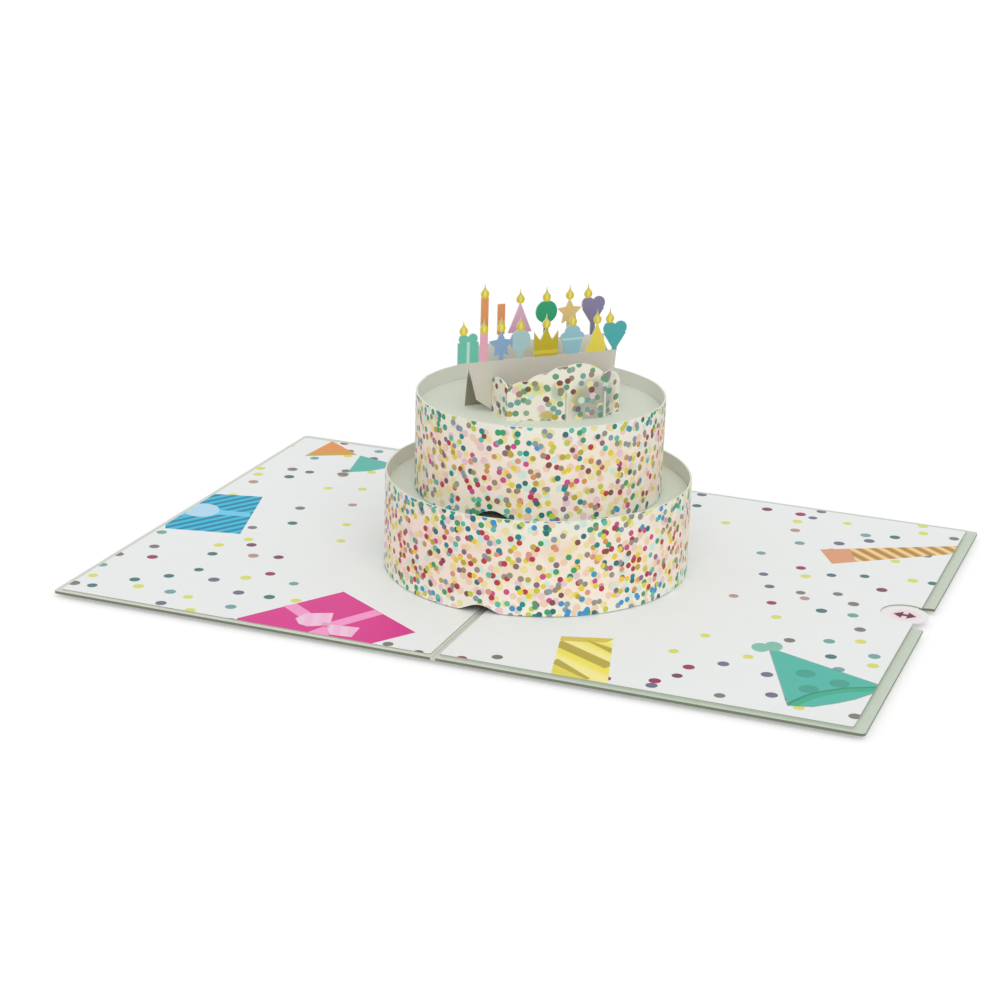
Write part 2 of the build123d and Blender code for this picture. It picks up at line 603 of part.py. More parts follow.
def cross_rib(along, pokes_through):
    """One cross rib; where it pokes through, its front end shows in the front wall's crease."""
    front = wall_reach(FRONT_CORNERS, along) - RIB_END_CLEARANCE
    back = wall_reach(BACK_CORNERS, along) + RIB_END_CLEARANCE
    if pokes_through:
        front = wall_reach(FRONT_CORNERS, along) + CROSS_RIB_POKE
    x, y = row_point(along, 0)
    turn = radians(ROW_ANGLE)
    across_dir = (sin(turn), -cos(turn), 0)
    along_dir = (-cos(turn), -sin(turn), 0)
    plane = Plane(origin=(x, y, UPPER_FLOOR), x_dir=across_dir, z_dir=along_dir)
    with BuildPart() as sheet:
        with BuildSketch(plane):
            with Locations((back, 0)):
                Rectangle(front - back, CROSS_RIB_HEIGHT, align=(Align.MIN, Align.MIN))
            with Locations((0, CROSS_RIB_HEIGHT), (-STRIP_SPACING, CROSS_RIB_HEIGHT)):
                Rectangle(
                    STRIP_THICKNESS + 2 * SLOT_CLEARANCE,
                    LAP_HEIGHT,
                    align=(Align.CENTER, Align.MAX),
                    mode=Mode.SUBTRACT,
                )
        extrude(amount=RIB_THICKNESS / 2, both=True)
    return sheet.part


for rib_share, place in zip(CROSS_RIB_PLACE_SHARES, ("left", "middle", "right")):
    save(cross_rib(rib_share * STRIP_HALF_LENGTH, place != "left"), f"cross_rib_{place}")
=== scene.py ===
"""Looks of a birthday pop up card that lies open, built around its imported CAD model.

Every sheet of card gets a paper finish, the print is laid on it as dots, stripes and simple fields
of colour, and the walls of the two round tiers are bent from strips of card. Lengths in the classes
are in millimetres and become metres where a mesh is made.
"""

import logging
from collections.abc import Callable, Sequence
from dataclasses import dataclass
from enum import Enum
from functools import cached_property, reduce
from math import atan2, cos, hypot, pi, radians, sin
from typing import Union

import bmesh
import bpy
from mathutils import Matrix, Vector


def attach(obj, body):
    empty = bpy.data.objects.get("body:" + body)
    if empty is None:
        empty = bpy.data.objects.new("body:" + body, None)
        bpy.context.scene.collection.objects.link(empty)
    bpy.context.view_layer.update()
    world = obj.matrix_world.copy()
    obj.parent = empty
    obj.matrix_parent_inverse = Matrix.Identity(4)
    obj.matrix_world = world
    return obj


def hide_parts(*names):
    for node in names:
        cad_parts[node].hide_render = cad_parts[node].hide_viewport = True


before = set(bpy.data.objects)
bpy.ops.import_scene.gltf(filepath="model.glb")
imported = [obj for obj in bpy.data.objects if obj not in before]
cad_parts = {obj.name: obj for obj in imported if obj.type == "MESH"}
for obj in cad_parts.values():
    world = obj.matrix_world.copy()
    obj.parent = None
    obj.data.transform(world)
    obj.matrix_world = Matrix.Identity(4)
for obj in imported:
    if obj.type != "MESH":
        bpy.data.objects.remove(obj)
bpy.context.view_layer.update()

MM = 0.001
ROOT = "root"
LOG = logging.getLogger("pop_up_card")

# Places that the CAD part gives, in millimetres, and the turn of the topper rows
CAKE_Y = -3.3
LEFT_FACE = 1.1
RIGHT_FACE = 1.6
LOWER_FLOOR = 27.4
UPPER_FLOOR = 53.7
ROW_TURN = radians(45)

# How much of a face's normal lies along an axis when the face looks that way
MOSTLY = 0.5


def linear(level: float) -> float:
    """Turns a printed colour level from 0 to 255 into the linear level that the shaders use."""
    share = level / 255
    return share / 12.92 if share <= 0.04045 else ((share + 0.055) / 1.055) ** 2.4


class Ink(Enum):
    """Colours of card stock, print, and painted shade and light: red, green and blue, 0 to 255."""

    WHITE = (241, 244, 243)
    WALL_WHITE = (247, 234, 219)
    RIM_WHITE = (238, 241, 228)
    CORE = (236, 234, 226)
    PLAIN = (226, 228, 220)
    DISC = (222, 228, 213)
    TOP_WHITE = (243, 237, 222)
    STRIP = (210, 205, 192)
    # Painted light: the back strip's card, lighter than the front strip's tone.
    STRIP_PAINTED_LIGHT = (252, 250, 240)
    # Painted shade for the front faces of the topper strips, low between the two rows.
    STRIP_PAINTED_SHADE = (150, 144, 126)
    SAGE = (203, 214, 198)
    SAGE_LIGHT = (215, 219, 208)
    # Sage with painted shade: for the fold line and the pocket strips' side faces.
    SAGE_PAINTED_SHADE = (188, 197, 182)
    # Painted shade on the cover's cut edges.
    SAGE_EDGE_PAINTED_SHADE = (122, 128, 108)
    # Painted shade on the panels' cut edges.
    PANEL_EDGE_PAINTED_SHADE = (170, 174, 156)
    PANEL_BORDER = (205, 211, 203)
    TEAL = (24, 138, 140)
    SEA = (92, 190, 166)
    GREEN = (66, 160, 108)
    LIME = (196, 202, 74)
    YELLOW = (232, 208, 64)
    ORANGE = (212, 150, 84)
    CRIMSON = (180, 54, 84)
    RED = (188, 60, 62)
    MAGENTA = (206, 78, 140)
    PLUM = (138, 108, 130)
    BLUE = (62, 150, 202)
    STEEL = (136, 158, 172)
    SALMON = (220, 152, 128)
    TAUPE = (150, 146, 138)
    MAROON = (126, 82, 72)
    MAUVE = (160, 138, 116)
    OLIVE = (188, 168, 66)
    DEEP_TEAL = (46, 112, 118)
    LEMON = (222, 224, 104)
    ROSE_TAN = (186, 148, 138)
    SOFT_CRIMSON = (156, 44, 96)
    SOFT_PLUM = (122, 62, 98)
    SLATE = (110, 108, 134)
    DARK_TAUPE = (126, 120, 114)
    DARK_TEAL = (64, 116, 116)
    SOFT_TEAL = (116, 166, 162)
    GREY_GREEN = (150, 172, 152)
    LEAF = (104, 160, 126)
    PALE_PEACH = (240, 208, 184)
    PALE_LEMON = (238, 224, 160)
    PALE_ROSE = (234, 200, 206)
    PALE_MINT = (208, 233, 220)
    GIFT_BLUE = (14, 196, 226)
    GIFT_BLUE_DARK = (6, 122, 164)
    RIBBON_BLUE = (104, 206, 238)
    BOW_BLUE = (182, 222, 246)
    GIFT_PINK = (222, 44, 142)
    RIBBON_PINK = (250, 156, 208)
    BOW_PINK = (246, 204, 228)
    BOW_PINK_DARK = (212, 130, 168)
    HAT_ORANGE = (232, 148, 66)
    HAT_TEAL = (84, 184, 170)
    HAT_GREEN = (74, 186, 168)
    HAT_GREEN_DARK = (40, 142, 120)
    HAT_BRIM = (40, 176, 138)
    HAT_LINE = (62, 122, 112)
    TUFT_GREEN = (130, 194, 174)
    BOX_YELLOW = (246, 234, 92)
    BOX_GOLD = (188, 172, 70)
    BOX_OCHRE = (218, 200, 86)
    BOX_CREAM = (252, 242, 158)
    CANDLE_SALMON = (224, 158, 116)
    CANDLE_GOLD = (178, 130, 62)
    CANDLE_TAN = (212, 166, 92)
    CANDLE_CREAM = (250, 214, 146)
    FLAME = (218, 200, 54)
    FLAME_CORE = (240, 226, 116)
    TOP_TEAL = (108, 192, 170)
    TOP_PINK = (234, 170, 190)
    TOP_STEEL = (138, 170, 206)
    TOP_MIST = (170, 204, 206)
    TOP_OLIVE = (200, 180, 40)
    TOP_SKY = (150, 198, 210)
    TOP_YELLOW = (236, 216, 82)
    TOP_DEEP_TEAL = (74, 172, 172)
    TOP_ORANGE = (230, 156, 98)
    TOP_LILAC = (226, 178, 208)
    TOP_GREEN = (46, 164, 118)
    TOP_CREAM = (232, 202, 132)
    TOP_PURPLE = (140, 130, 166)
    TAB_WHITE = (243, 241, 240)
    TAB_ROSE = (247, 222, 231)
    TAB_MARK = (92, 10, 44)

    @property
    def rgba(self) -> tuple[float, float, float, float]:
        """The colour in linear levels, with full alpha."""
        red, green, blue = (linear(level) for level in self.value)
        return red, green, blue, 1.0


def inks(names: str) -> tuple[Ink, ...]:
    """The inks of these names, in order."""
    return tuple(Ink[name] for name in names.split())


def operator(operation: str, flipped: bool = False) -> Callable[..., "Field"]:
    """Makes a method of Field that adds a Math node.

    Args:
        operation: the node's operation.
        flipped: whether the field itself comes last.

    Returns:
        The method.
    """

    def method(field: "Field", *others: "Value") -> "Field":
        """The field and the others, through the node."""
        values = (*others, field) if flipped else (field, *others)
        return field.recipe.math(operation, *values)

    return method


class Field:
    """A number that varies over a surface. Sums and comparisons on it add Math nodes.

    A comparison makes a mask, which is 1 where it holds. On masks, a product is where both are, and
    most is where either is. The modulo is never negative.
    """

    def __init__(self, recipe: "Recipe", socket: bpy.types.NodeSocket) -> None:
        """Keeps the socket and the recipe it belongs to."""
        self.recipe = recipe
        self.socket = socket

    __add__ = operator("ADD")
    __sub__ = operator("SUBTRACT")
    __rsub__ = operator("SUBTRACT", flipped=True)
    __mul__ = operator("MULTIPLY")
    __truediv__ = operator("DIVIDE")
    __mod__ = operator("FLOORED_MODULO")
    __gt__ = operator("GREATER_THAN")
    __lt__ = operator("LESS_THAN")
    __abs__ = operator("ABSOLUTE")
    most = operator("MAXIMUM")


Value = Union[Field, float]
Colour = Union[Ink, bpy.types.NodeSocket]
Place = tuple[float, float]
Corners = tuple[Place, ...]
Stops = Sequence[tuple[float, Ink]]
Fields3 = tuple[Field, Field, Field]


def joined(values: Sequence[Value]) -> dict:
    """Numbers and fields as the inputs of a node, by their order."""
    return {i: v.socket if isinstance(v, Field) else v for i, v in enumerate(values)}


class Recipe:
    """The nodes of one material, or of the world, under construction."""

    def __init__(self, owner: Union[bpy.types.Material, bpy.types.World]) -> None:
        """Starts with no nodes.

        Args:
            owner: the material or the world.
        """
        self.owner = owner
        self.owner.use_nodes = True
        self.tree = self.owner.node_tree
        self.tree.nodes.clear()

    @classmethod
    def named(cls, name: str) -> "Recipe":
        """Starts a new material."""
        return cls(bpy.data.materials.new(name))

    def node(
        self, kind: str, settings: dict | None = None, inputs: dict | None = None
    ) -> bpy.types.Node:
        """Adds a node.

        Args:
            kind: the node's type.
            settings: the node's properties, set first.
            inputs: socket name or number to a value or an output socket to link.

        Returns:
            The node.
        """
        made = self.tree.nodes.new(kind)
        for name, value in (settings or {}).items():
            setattr(made, name, value)
        for name, value in (inputs or {}).items():
            if isinstance(value, bpy.types.NodeSocket):
                self.tree.links.new(value, made.inputs[name])
            else:
                made.inputs[name].default_value = value
        return made

    def math(self, operation: str, *values: Value) -> Field:
        """The result of a Math node on numbers and fields, in order."""
        made = self.node("ShaderNodeMath", {"operation": operation}, joined(values))
        return Field(self, made.outputs[0])

    def distance(self, x: Field, y: Field) -> Field:
        """How far a place is from where x and y are 0."""
        return self.math("SQRT", x * x + y * y)

    @cached_property
    def place(self) -> Fields3:
        """The point on the object, in millimetres: X, Y and Z."""
        inputs = {0: self.node("ShaderNodeTexCoord").outputs["Object"], "Scale": 1 / MM}
        scaled = self.node("ShaderNodeVectorMath", {"operation": "SCALE"}, inputs)
        return self.parts(scaled.outputs[0])

    @cached_property
    def facing(self) -> Fields3:
        """The way the face looks: the X, Y and Z of its normal."""
        return self.parts(self.node("ShaderNodeNewGeometry").outputs["Normal"])

    def parts(self, vector: bpy.types.NodeSocket) -> Fields3:
        """Splits a vector into three fields."""
        split = self.node("ShaderNodeSeparateXYZ", inputs={0: vector})
        return tuple(Field(self, socket) for socket in split.outputs)

    def vector(self, x: Value, y: Value, z: Value = 0.0) -> bpy.types.NodeSocket:
        """Joins three values into a vector."""
        return self.node("ShaderNodeCombineXYZ", inputs=joined((x, y, z))).outputs[0]

    def paint(self, mask: Field, upper: Colour, lower: Colour) -> Colour:
        """One colour over another.

        Args:
            mask: 1 where the upper colour shows.
            upper: the upper colour.
            lower: the lower colour.

        Returns:
            The mixed colour.
        """
        inputs = {0: mask.socket}
        for name, colour in ((6, lower), (7, upper)):
            inputs[name] = colour.rgba if isinstance(colour, Ink) else colour
        return self.node("ShaderNodeMix", {"data_type": "RGBA"}, inputs).outputs[2]

    def bands(self, value: Field, stops: Stops) -> Colour:
        """A colour picked from flat bands.

        Args:
            value: what picks it, from 0 to 1.
            stops: where each band starts, and its ink.

        Returns:
            The colour.
        """
        made = self.node("ShaderNodeValToRGB", inputs={0: value.socket})
        ramp = made.color_ramp
        ramp.interpolation = "CONSTANT"
        for index, (start, ink) in enumerate(stops):
            stop = ramp.elements[0] if index == 0 else ramp.elements.new(start)
            stop.position = start
            stop.color = ink.rgba
        if len(stops) < len(ramp.elements):
            ramp.elements.remove(ramp.elements[-1])
        return made.outputs[0]

    def pick(self, value: Field, choice: Sequence[Ink]) -> Colour:
        """One of the inks, each as likely as the next, by a value from 0 to 1."""
        return self.bands(value, [(index / len(choice), ink) for index, ink in enumerate(choice)])

    def ease(self, value: Field, low: float, high: float) -> Field:
        """0 below low and 1 above high, with a smooth rise between them."""
        inputs, smooth = {0: value.socket, 1: low, 2: high}, {"interpolation_type": "SMOOTHSTEP"}
        return Field(self, self.node("ShaderNodeMapRange", smooth, inputs).outputs[0])

    def noise(self, size: float, detail: float) -> Field:
        """Soft noise from 0 to 1: the width of its blotches in millimetres, and its layers."""
        inputs = {"Vector": self.vector(*self.place), "Scale": 1 / size, "Detail": detail}
        return Field(self, self.node("ShaderNodeTexNoise", inputs=inputs).outputs[0])

    def finish(
        self, colour: Colour, stock: "Stock", inked: Field | None = None
    ) -> bpy.types.Material:
        """Closes the recipe with the stock's fibres, mottling and sheen.

        Args:
            colour: the colour of paper and print.
            stock: the paper.
            inked: 1 where ink lies, which makes the surface a little smoother.

        Returns:
            The finished material.
        """
        fibres = self.noise(stock.fibre_size, stock.fibre_detail)
        clouds = self.noise(stock.cloud_size, stock.cloud_detail)
        level = (clouds - 0.5) * (2 * stock.mottle) + (fibres - 0.5) * stock.mottle + 1.0
        base = colour.rgba[:3] if isinstance(colour, Ink) else colour
        inputs = {0: base, 1: self.vector(level, level, level)}
        shade = self.node("ShaderNodeVectorMath", {"operation": "MULTIPLY"}, inputs)
        rough = (fibres - 0.5) * stock.fibre_gloss + stock.roughness
        if inked is not None:
            rough = rough - inked * stock.ink_gloss
        height = stock.relief_height * MM
        inputs = {"Strength": stock.relief, "Distance": height, "Height": fibres.socket}
        bump = self.node("ShaderNodeBump", inputs=inputs)
        inputs = {
            "Base Color": shade.outputs[0],
            "Roughness": rough.socket,
            "Normal": bump.outputs[0],
            "Specular IOR Level": stock.specular,
        }
        skin = self.node("ShaderNodeBsdfPrincipled", inputs=inputs)
        self.node("ShaderNodeOutputMaterial", inputs={"Surface": skin.outputs[0]})
        return self.owner


@dataclass(frozen=True)
class Stock:
    """A kind of card: how rough it is, and how its fibres and print show."""

    roughness: float = 0.74
    specular: float = 0.32
    mottle: float = 0.018
    fibre_size: float = 0.35
    fibre_detail: float = 4.0
    fibre_gloss: float = 0.12
    cloud_size: float = 9.0
    cloud_detail: float = 3.0
    relief: float = 0.35
    relief_height: float = 0.03
    ink_gloss: float = 0.12


COATED = Stock(roughness=0.62, specular=0.38, mottle=0.012, relief=0.22)
UNCOATED = Stock()
LAMINATED = Stock(
    roughness=0.58, specular=0.4, mottle=0.03, fibre_size=0.6, cloud_size=6.0, relief=0.3
)


class Sheet:
    """A sheet while its print is laid: places on it in millimetres, its colour and its ink."""

    def __init__(self, recipe: Recipe, x: Field, y: Field, paper: Colour) -> None:
        """Starts with bare paper.

        Args:
            recipe: the material's recipe.
            x: the sheet's first coordinate.
            y: the sheet's second coordinate.
            paper: the colour of the paper.
        """
        self.recipe = recipe
        self.x = x
        self.y = y
        self.colour = paper
        self.masks: list[Field] = []

    @property
    def inked(self) -> Field:
        """A mask of all that has been laid."""
        return reduce(Field.most, self.masks)

    def lay(self, mask: Field, ink: Colour, strength: float = 1.0) -> Field:
        """Lays ink over what is there, and returns where it lies.

        Args:
            mask: 1 where the ink lies.
            ink: its colour.
            strength: how much of it shows.

        Returns:
            The mask.
        """
        shown = mask if strength == 1.0 else mask * strength
        self.colour = self.recipe.paint(shown, ink, self.colour)
        self.masks.append(mask)
        return mask

    def patch(self, corners: Corners, grow: float = 0.0) -> Field:
        """A mask of a convex patch.

        Args:
            corners: the patch's corners in order, either way round.
            grow: how far the patch reaches past its corners' lines.

        Returns:
            1 inside the patch.
        """
        sides = list(zip(corners, [*corners[1:], corners[0]]))
        turn = 1 if sum(a[0] * b[1] - b[0] * a[1] for a, b in sides) > 0 else -1
        masks = []
        for (x0, y0), (x1, y1) in sides:
            off = self.x * (turn * (y0 - y1)) + self.y * (turn * (x1 - x0))
            line = turn * ((y0 - y1) * x0 + (x1 - x0) * y0)
            masks.append(off > line - grow * hypot(x1 - x0, y1 - y0))
        return reduce(Field.__mul__, masks)

    def patches(self, shapes: Sequence[Corners]) -> Field:
        """A mask of several convex patches."""
        return reduce(Field.most, (self.patch(shape) for shape in shapes))

    def blob(self, centre: Place, radii: Place, turn: float = 0.0) -> Field:
        """A mask of an ellipse.

        Args:
            centre: its centre.
            radii: its two half widths.
            turn: how far it is turned, in degrees.

        Returns:
            1 inside the ellipse.
        """
        c, s = cos(radians(turn)), sin(radians(turn))
        right, up = self.x - centre[0], self.y - centre[1]
        along = (right * (c / radii[0])) + (up * (s / radii[0]))
        over = (up * (c / radii[1])) - (right * (s / radii[1]))
        return along * along + over * over < 1.0

    def through(self, turn: float, pitch: float, start: float = 0.0) -> Field:
        """How far a place is through its stripe.

        Args:
            turn: direction across the stripes, in degrees.
            pitch: distance from one stripe to the next.
            start: shift of the stripes.

        Returns:
            0 to 1 over each stripe.
        """
        c, s = cos(radians(turn)), sin(radians(turn))
        return (self.x * (c / pitch) + self.y * (s / pitch) + start / pitch) % 1.0

    def wave(self, stripes: tuple[float, ...], low: float = 0.14, high: float = 0.36) -> Field:
        """Soft stripes that swell from 0 to 1 and back; through says what the numbers are."""
        return self.recipe.ease(abs(self.through(*stripes) - 0.5), low, high)


class Likely:
    """How a scattering thins out over its sheet. Here it is even."""

    def chance(self, sheet: Sheet, x: Field, y: Field) -> Value:
        """The share of the dots that is kept at a place."""
        return 1.0

    def rim(self, sheet: Sheet, x: Field, y: Field) -> Value:
        """The share of the dots that takes the rim's inks at a place."""
        return 0.0


@dataclass(frozen=True)
class ThinNearCake(Likely):
    """Dots of the panels: none close to the cake, and more towards the outer edges."""

    bare: float = 60.0
    full: float = 104.0

    def chance(self, sheet: Sheet, x: Field, y: Field) -> Value:
        """The share of the dots that is kept at a place."""
        return sheet.recipe.ease(sheet.recipe.distance(x, y - CAKE_Y), self.bare, self.full)


@dataclass(frozen=True)
class BandedWall(Likely):
    """Dots of a tier's wall: cooler inks along its two edges, and warmer ones between them."""

    bottom: float
    height: float
    cool_from: float = 0.4
    cool_full: float = 0.9
    cool_least: float = 0.2
    cool_gain: float = 0.76

    def off_middle(self, z: Field) -> Field:
        """How far a height is from the wall's middle: 1 at its edges."""
        return abs(z - (self.bottom + self.height / 2)) / (self.height / 2)

    def rim(self, sheet: Sheet, x: Field, y: Field) -> Value:
        """The share of the dots that takes the rim's inks at a place."""
        cool = sheet.recipe.ease(self.off_middle(y), self.cool_from, self.cool_full)
        return cool * self.cool_gain + self.cool_least


@dataclass(frozen=True)
class Confetti:
    """One scattering of round dots on a sheet.

    The dots stand on a loose grid that is turned by some angle, so that several scatterings lie
    over each other with no rows to be seen. A dot's size is a share of the nominal one: the least,
    plus up to the spread.
    """

    spacing: float
    size: float
    keep: float
    seed: float
    turn: float
    inks: tuple[Ink, ...]
    rim_inks: tuple[Ink, ...] = ()
    looseness: float = 0.5
    least: float = 0.88
    spread: float = 0.24

    def lay(self, sheet: Sheet, likely: Likely = Likely()) -> None:
        """Lays the dots over a sheet.

        Args:
            sheet: the sheet.
            likely: how likely a dot is, by its centre, and how likely it is in the rim's inks.
        """
        recipe = sheet.recipe
        c, s = cos(radians(self.turn)), sin(radians(self.turn))
        across = sheet.x * (c / self.spacing) + sheet.y * (s / self.spacing) + self.seed
        up = sheet.y * (c / self.spacing) - sheet.x * (s / self.spacing) + self.seed
        inputs = {"Vector": recipe.vector(across, up), "Scale": 1.0, "Randomness": self.looseness}
        cells = recipe.node("ShaderNodeTexVoronoi", {"voronoi_dimensions": "2D"}, inputs).outputs
        cell = recipe.node("ShaderNodeVectorMath", {"operation": "FLOOR"}, {0: cells["Position"]})
        inputs = {"Vector": cell.outputs[0]}
        dice = recipe.node("ShaderNodeTexWhiteNoise", {"noise_dimensions": "2D"}, inputs).outputs
        first, second, third = recipe.parts(dice["Color"])
        size = Field(recipe, dice["Value"]) * self.spread + self.least
        near = Field(recipe, cells["Distance"]) < size * (self.size / 2 / self.spacing)
        right, over = (part - self.seed for part in recipe.parts(cells["Position"])[:2])
        x = (right * c - over * s) * self.spacing
        y = (right * s + over * c) * self.spacing
        colour = recipe.pick(second, self.inks)
        if self.rim_inks:
            rim = third < likely.rim(sheet, x, y)
            colour = recipe.paint(rim, recipe.pick(second, self.rim_inks), colour)
        sheet.lay(near * (first < likely.chance(sheet, x, y) * self.keep), colour)


WARM = inks(
    "CRIMSON ORANGE YELLOW MAUVE SALMON RED YELLOW MAGENTA OLIVE MAROON PLUM YELLOW CRIMSON TAUPE"
)
COOL = inks("TEAL GREEN STEEL DEEP_TEAL LIME BLUE SEA TAUPE GREEN")
PALE = inks("PALE_PEACH PALE_LEMON PALE_ROSE PALE_LEMON PALE_MINT PALE_PEACH")
TOP_INKS = inks(
    "LEAF SOFT_TEAL GREY_GREEN MAROON TAUPE SOFT_TEAL LEAF OLIVE MAUVE GREY_GREEN SLATE LEAF"
)
PANEL_INKS = inks(
    "LEMON DARK_TAUPE SOFT_CRIMSON LEMON DARK_TEAL DARK_TAUPE SOFT_TEAL LEMON SLATE SOFT_PLUM "
    "ROSE_TAN DARK_TEAL LEMON DARK_TAUPE SLATE"
)
WALL_CONFETTI = (
    Confetti(4.4, 2.5, 0.8, 7.3, 27.0, PALE),
    Confetti(4.1, 2.3, 0.6, 61.7, 63.0, PALE),
    Confetti(4.2, 1.95, 0.5, 11.7, 12.0, WARM, COOL),
    Confetti(4.3, 2.0, 0.5, 23.1, 49.0, WARM, COOL),
    Confetti(4.1, 1.9, 0.48, 37.9, 71.0, WARM, COOL),
    Confetti(4.4, 2.0, 0.48, 53.3, 33.0, WARM, COOL),
    Confetti(4.6, 1.95, 0.48, 83.9, 5.0, WARM, COOL),
)
TOP_CONFETTI = (
    Confetti(4.2, 2.4, 0.6, 17.3, 27.0, PALE),
    Confetti(3.7, 1.95, 0.56, 71.7, 12.0, TOP_INKS),
    Confetti(3.8, 2.0, 0.56, 29.1, 49.0, TOP_INKS),
    Confetti(3.9, 2.0, 0.5, 43.9, 71.0, TOP_INKS),
)
PANEL_CONFETTI = Confetti(10.6, 3.5, 0.78, 5.21, 19.0, PANEL_INKS, looseness=0.85)


@dataclass(frozen=True)
class PlainFinish:
    """Card of one colour all through."""

    ink: Ink
    stock: Stock

    def make(self, name: str) -> bpy.types.Material:
        """Builds the material."""
        return Recipe.named(name).finish(self.ink, self.stock)


@dataclass(frozen=True)
class CoverFinish:
    """The cover: pale green card, lighter towards the left leaf, with painted shade along the fold
    and on its cut edges.
    """

    fold_half_width: float = 0.8
    fold_shade_strength: float = 0.15
    pale_until: float = 4.0
    full_sage_from: float = 60.0

    def make(self, name: str) -> bpy.types.Material:
        """Builds the material.

        Args:
            name: the material's name.

        Returns:
            The material.
        """
        recipe = Recipe.named(name)
        x, _, _ = recipe.place
        _, _, up = recipe.facing
        fold = abs(x) < self.fold_half_width
        # Lighter sage on the left leaf and the fold, grading to the full sage on the right leaf.
        full_sage = recipe.ease(x, self.pale_until, self.full_sage_from)
        colour = recipe.paint(full_sage, Ink.SAGE, Ink.SAGE_LIGHT)
        # Painted shade: a faint darker line along the fold.
        colour = recipe.paint(fold * self.fold_shade_strength, Ink.SAGE_PAINTED_SHADE, colour)
        # Painted shade: the cut edges, away from the fold, are darkened.
        colour = recipe.paint((abs(up) < MOSTLY) * (1 - fold), Ink.SAGE_EDGE_PAINTED_SHADE, colour)
        return recipe.finish(colour, LAMINATED)


@dataclass(frozen=True)
class PanelPrint:
    """A printed panel: white card with confetti, motifs from the two sides' own classes, and
    painted shade on its cut edges.
    """

    border_from: float = 85.5
    border_strength: float = 0.85

    def motifs(self, sheet: Sheet) -> None:
        """Lays the panel's motifs over its confetti."""
        raise NotImplementedError

    def make(self, name: str) -> bpy.types.Material:
        """Builds the material.

        Args:
            name: the material's name.

        Returns:
            The material.
        """
        recipe = Recipe.named(name)
        x, y, _ = recipe.place
        _, _, up = recipe.facing
        sheet = Sheet(recipe, x, y, Ink.WHITE)
        PANEL_CONFETTI.lay(sheet, ThinNearCake())
        self.motifs(sheet)
        border = (y > self.border_from) * self.border_strength
        colour = recipe.paint(border, Ink.PANEL_BORDER, sheet.colour)
        top = up > MOSTLY
        # Painted shade: the faces that do not look up are darkened.
        colour = recipe.paint(1 - top, Ink.PANEL_EDGE_PAINTED_SHADE, colour)
        return recipe.finish(colour, COATED, sheet.inked * top)


@dataclass(frozen=True)
class LeftPanelPrint(PanelPrint):
    """The left panel's motifs: two gifts and two party hats."""

    blue_gift: Corners = (
        (-126.8, 12.6), (-108.8, 17.4), (-98.4, -19.6), (-123.4, -25.3), (-133.0, -8.0),
    )
    blue_stripes: tuple[float, ...] = (149.2, 3.75)
    blue_ribbons: tuple[Corners, ...] = (
        ((-118.0, -1.4), (-104.8, 0.6), (-103.8, -3.2), (-116.0, -6.2)),
        ((-118.2, -3.0), (-121.0, -8.4), (-127.0, -14.0), (-127.0, -10.0)),
    )
    blue_bow: tuple[Place, Place, float] = ((-121.1, -3.9), (6.8, 5.9), 118.0)
    pink_gift: Corners = (
        (-45.2, -52.8), (-11.8, -73.9), (-21.1, -88.6), (-64.8, -87.9), (-64.8, -85.8),
    )
    pink_ribbons: tuple[Corners, ...] = (
        ((-56.8, -71.4), (-54.0, -67.8), (-42.8, -75.6), (-45.6, -79.4)),
        ((-38.6, -77.6), (-30.2, -62.4), (-26.5, -64.6), (-35.0, -80.4)),
    )
    bow_wings: tuple[Corners, ...] = (
        (
            (-49.1, -78.8), (-47.8, -73.7), (-40.5, -70.1), (-37.4, -79.3), (-43.1, -83.1),
            (-46.3, -82.2),
        ),
        ((-38.6, -79.0), (-28.4, -77.5), (-27.6, -85.2), (-34.3, -86.0)),
    )
    bow_folds: tuple[float, ...] = (20.0, 4.6)
    bow_tail: Corners = ((-38.6, -81.0), (-36.6, -81.0), (-33.8, -87.9), (-41.3, -87.9))
    bow_knot: Corners = ((-40.3, -78.5), (-38.2, -77.6), (-36.6, -81.1), (-38.9, -82.3))
    orange_hat: Corners = ((-115.9, 65.2), (-114.3, 85.8), (-98.9, 74.6))
    orange_brim: Corners = ((-116.4, 64.6), (-98.4, 74.9), (-103.3, 77.4), (-115.1, 70.4))
    teal_hat: Corners = ((-97.6, 74.4), (-84.2, 71.0), (-83.0, 65.0), (-87.0, 59.3), (-93.5, 54.8))
    teal_tuft: tuple[Place, Place] = ((-94.2, 52.0), (2.2, 1.8))

    def motifs(self, sheet: Sheet) -> None:
        """Lays the gifts and the hats over the confetti.

        Args:
            sheet: the panel.
        """
        gift = sheet.lay(sheet.patch(self.blue_gift), Ink.GIFT_BLUE)
        sheet.lay(sheet.wave(self.blue_stripes) * gift, Ink.GIFT_BLUE_DARK)
        sheet.lay(sheet.patches(self.blue_ribbons) * gift, Ink.RIBBON_BLUE)
        sheet.lay(sheet.blob(*self.blue_bow), Ink.BOW_BLUE)
        sheet.lay(sheet.patch(self.pink_gift), Ink.GIFT_PINK)
        sheet.lay(sheet.patches(self.pink_ribbons), Ink.RIBBON_PINK)
        sheet.lay(sheet.patch(self.bow_tail), Ink.RIBBON_PINK)
        wings = sheet.lay(sheet.patches(self.bow_wings), Ink.BOW_PINK)
        sheet.lay(sheet.wave(self.bow_folds) * wings, Ink.RIBBON_PINK, strength=0.35)
        sheet.lay(sheet.patch(self.bow_knot), Ink.BOW_PINK_DARK, strength=0.5)
        hat = sheet.lay(sheet.patch(self.orange_hat), Ink.HAT_ORANGE)
        sheet.lay(sheet.patch(self.orange_brim) * hat, Ink.BOX_GOLD, strength=0.55)
        sheet.lay(sheet.patch(self.teal_hat), Ink.HAT_TEAL)
        sheet.lay(sheet.blob(*self.teal_tuft), Ink.DARK_TAUPE)


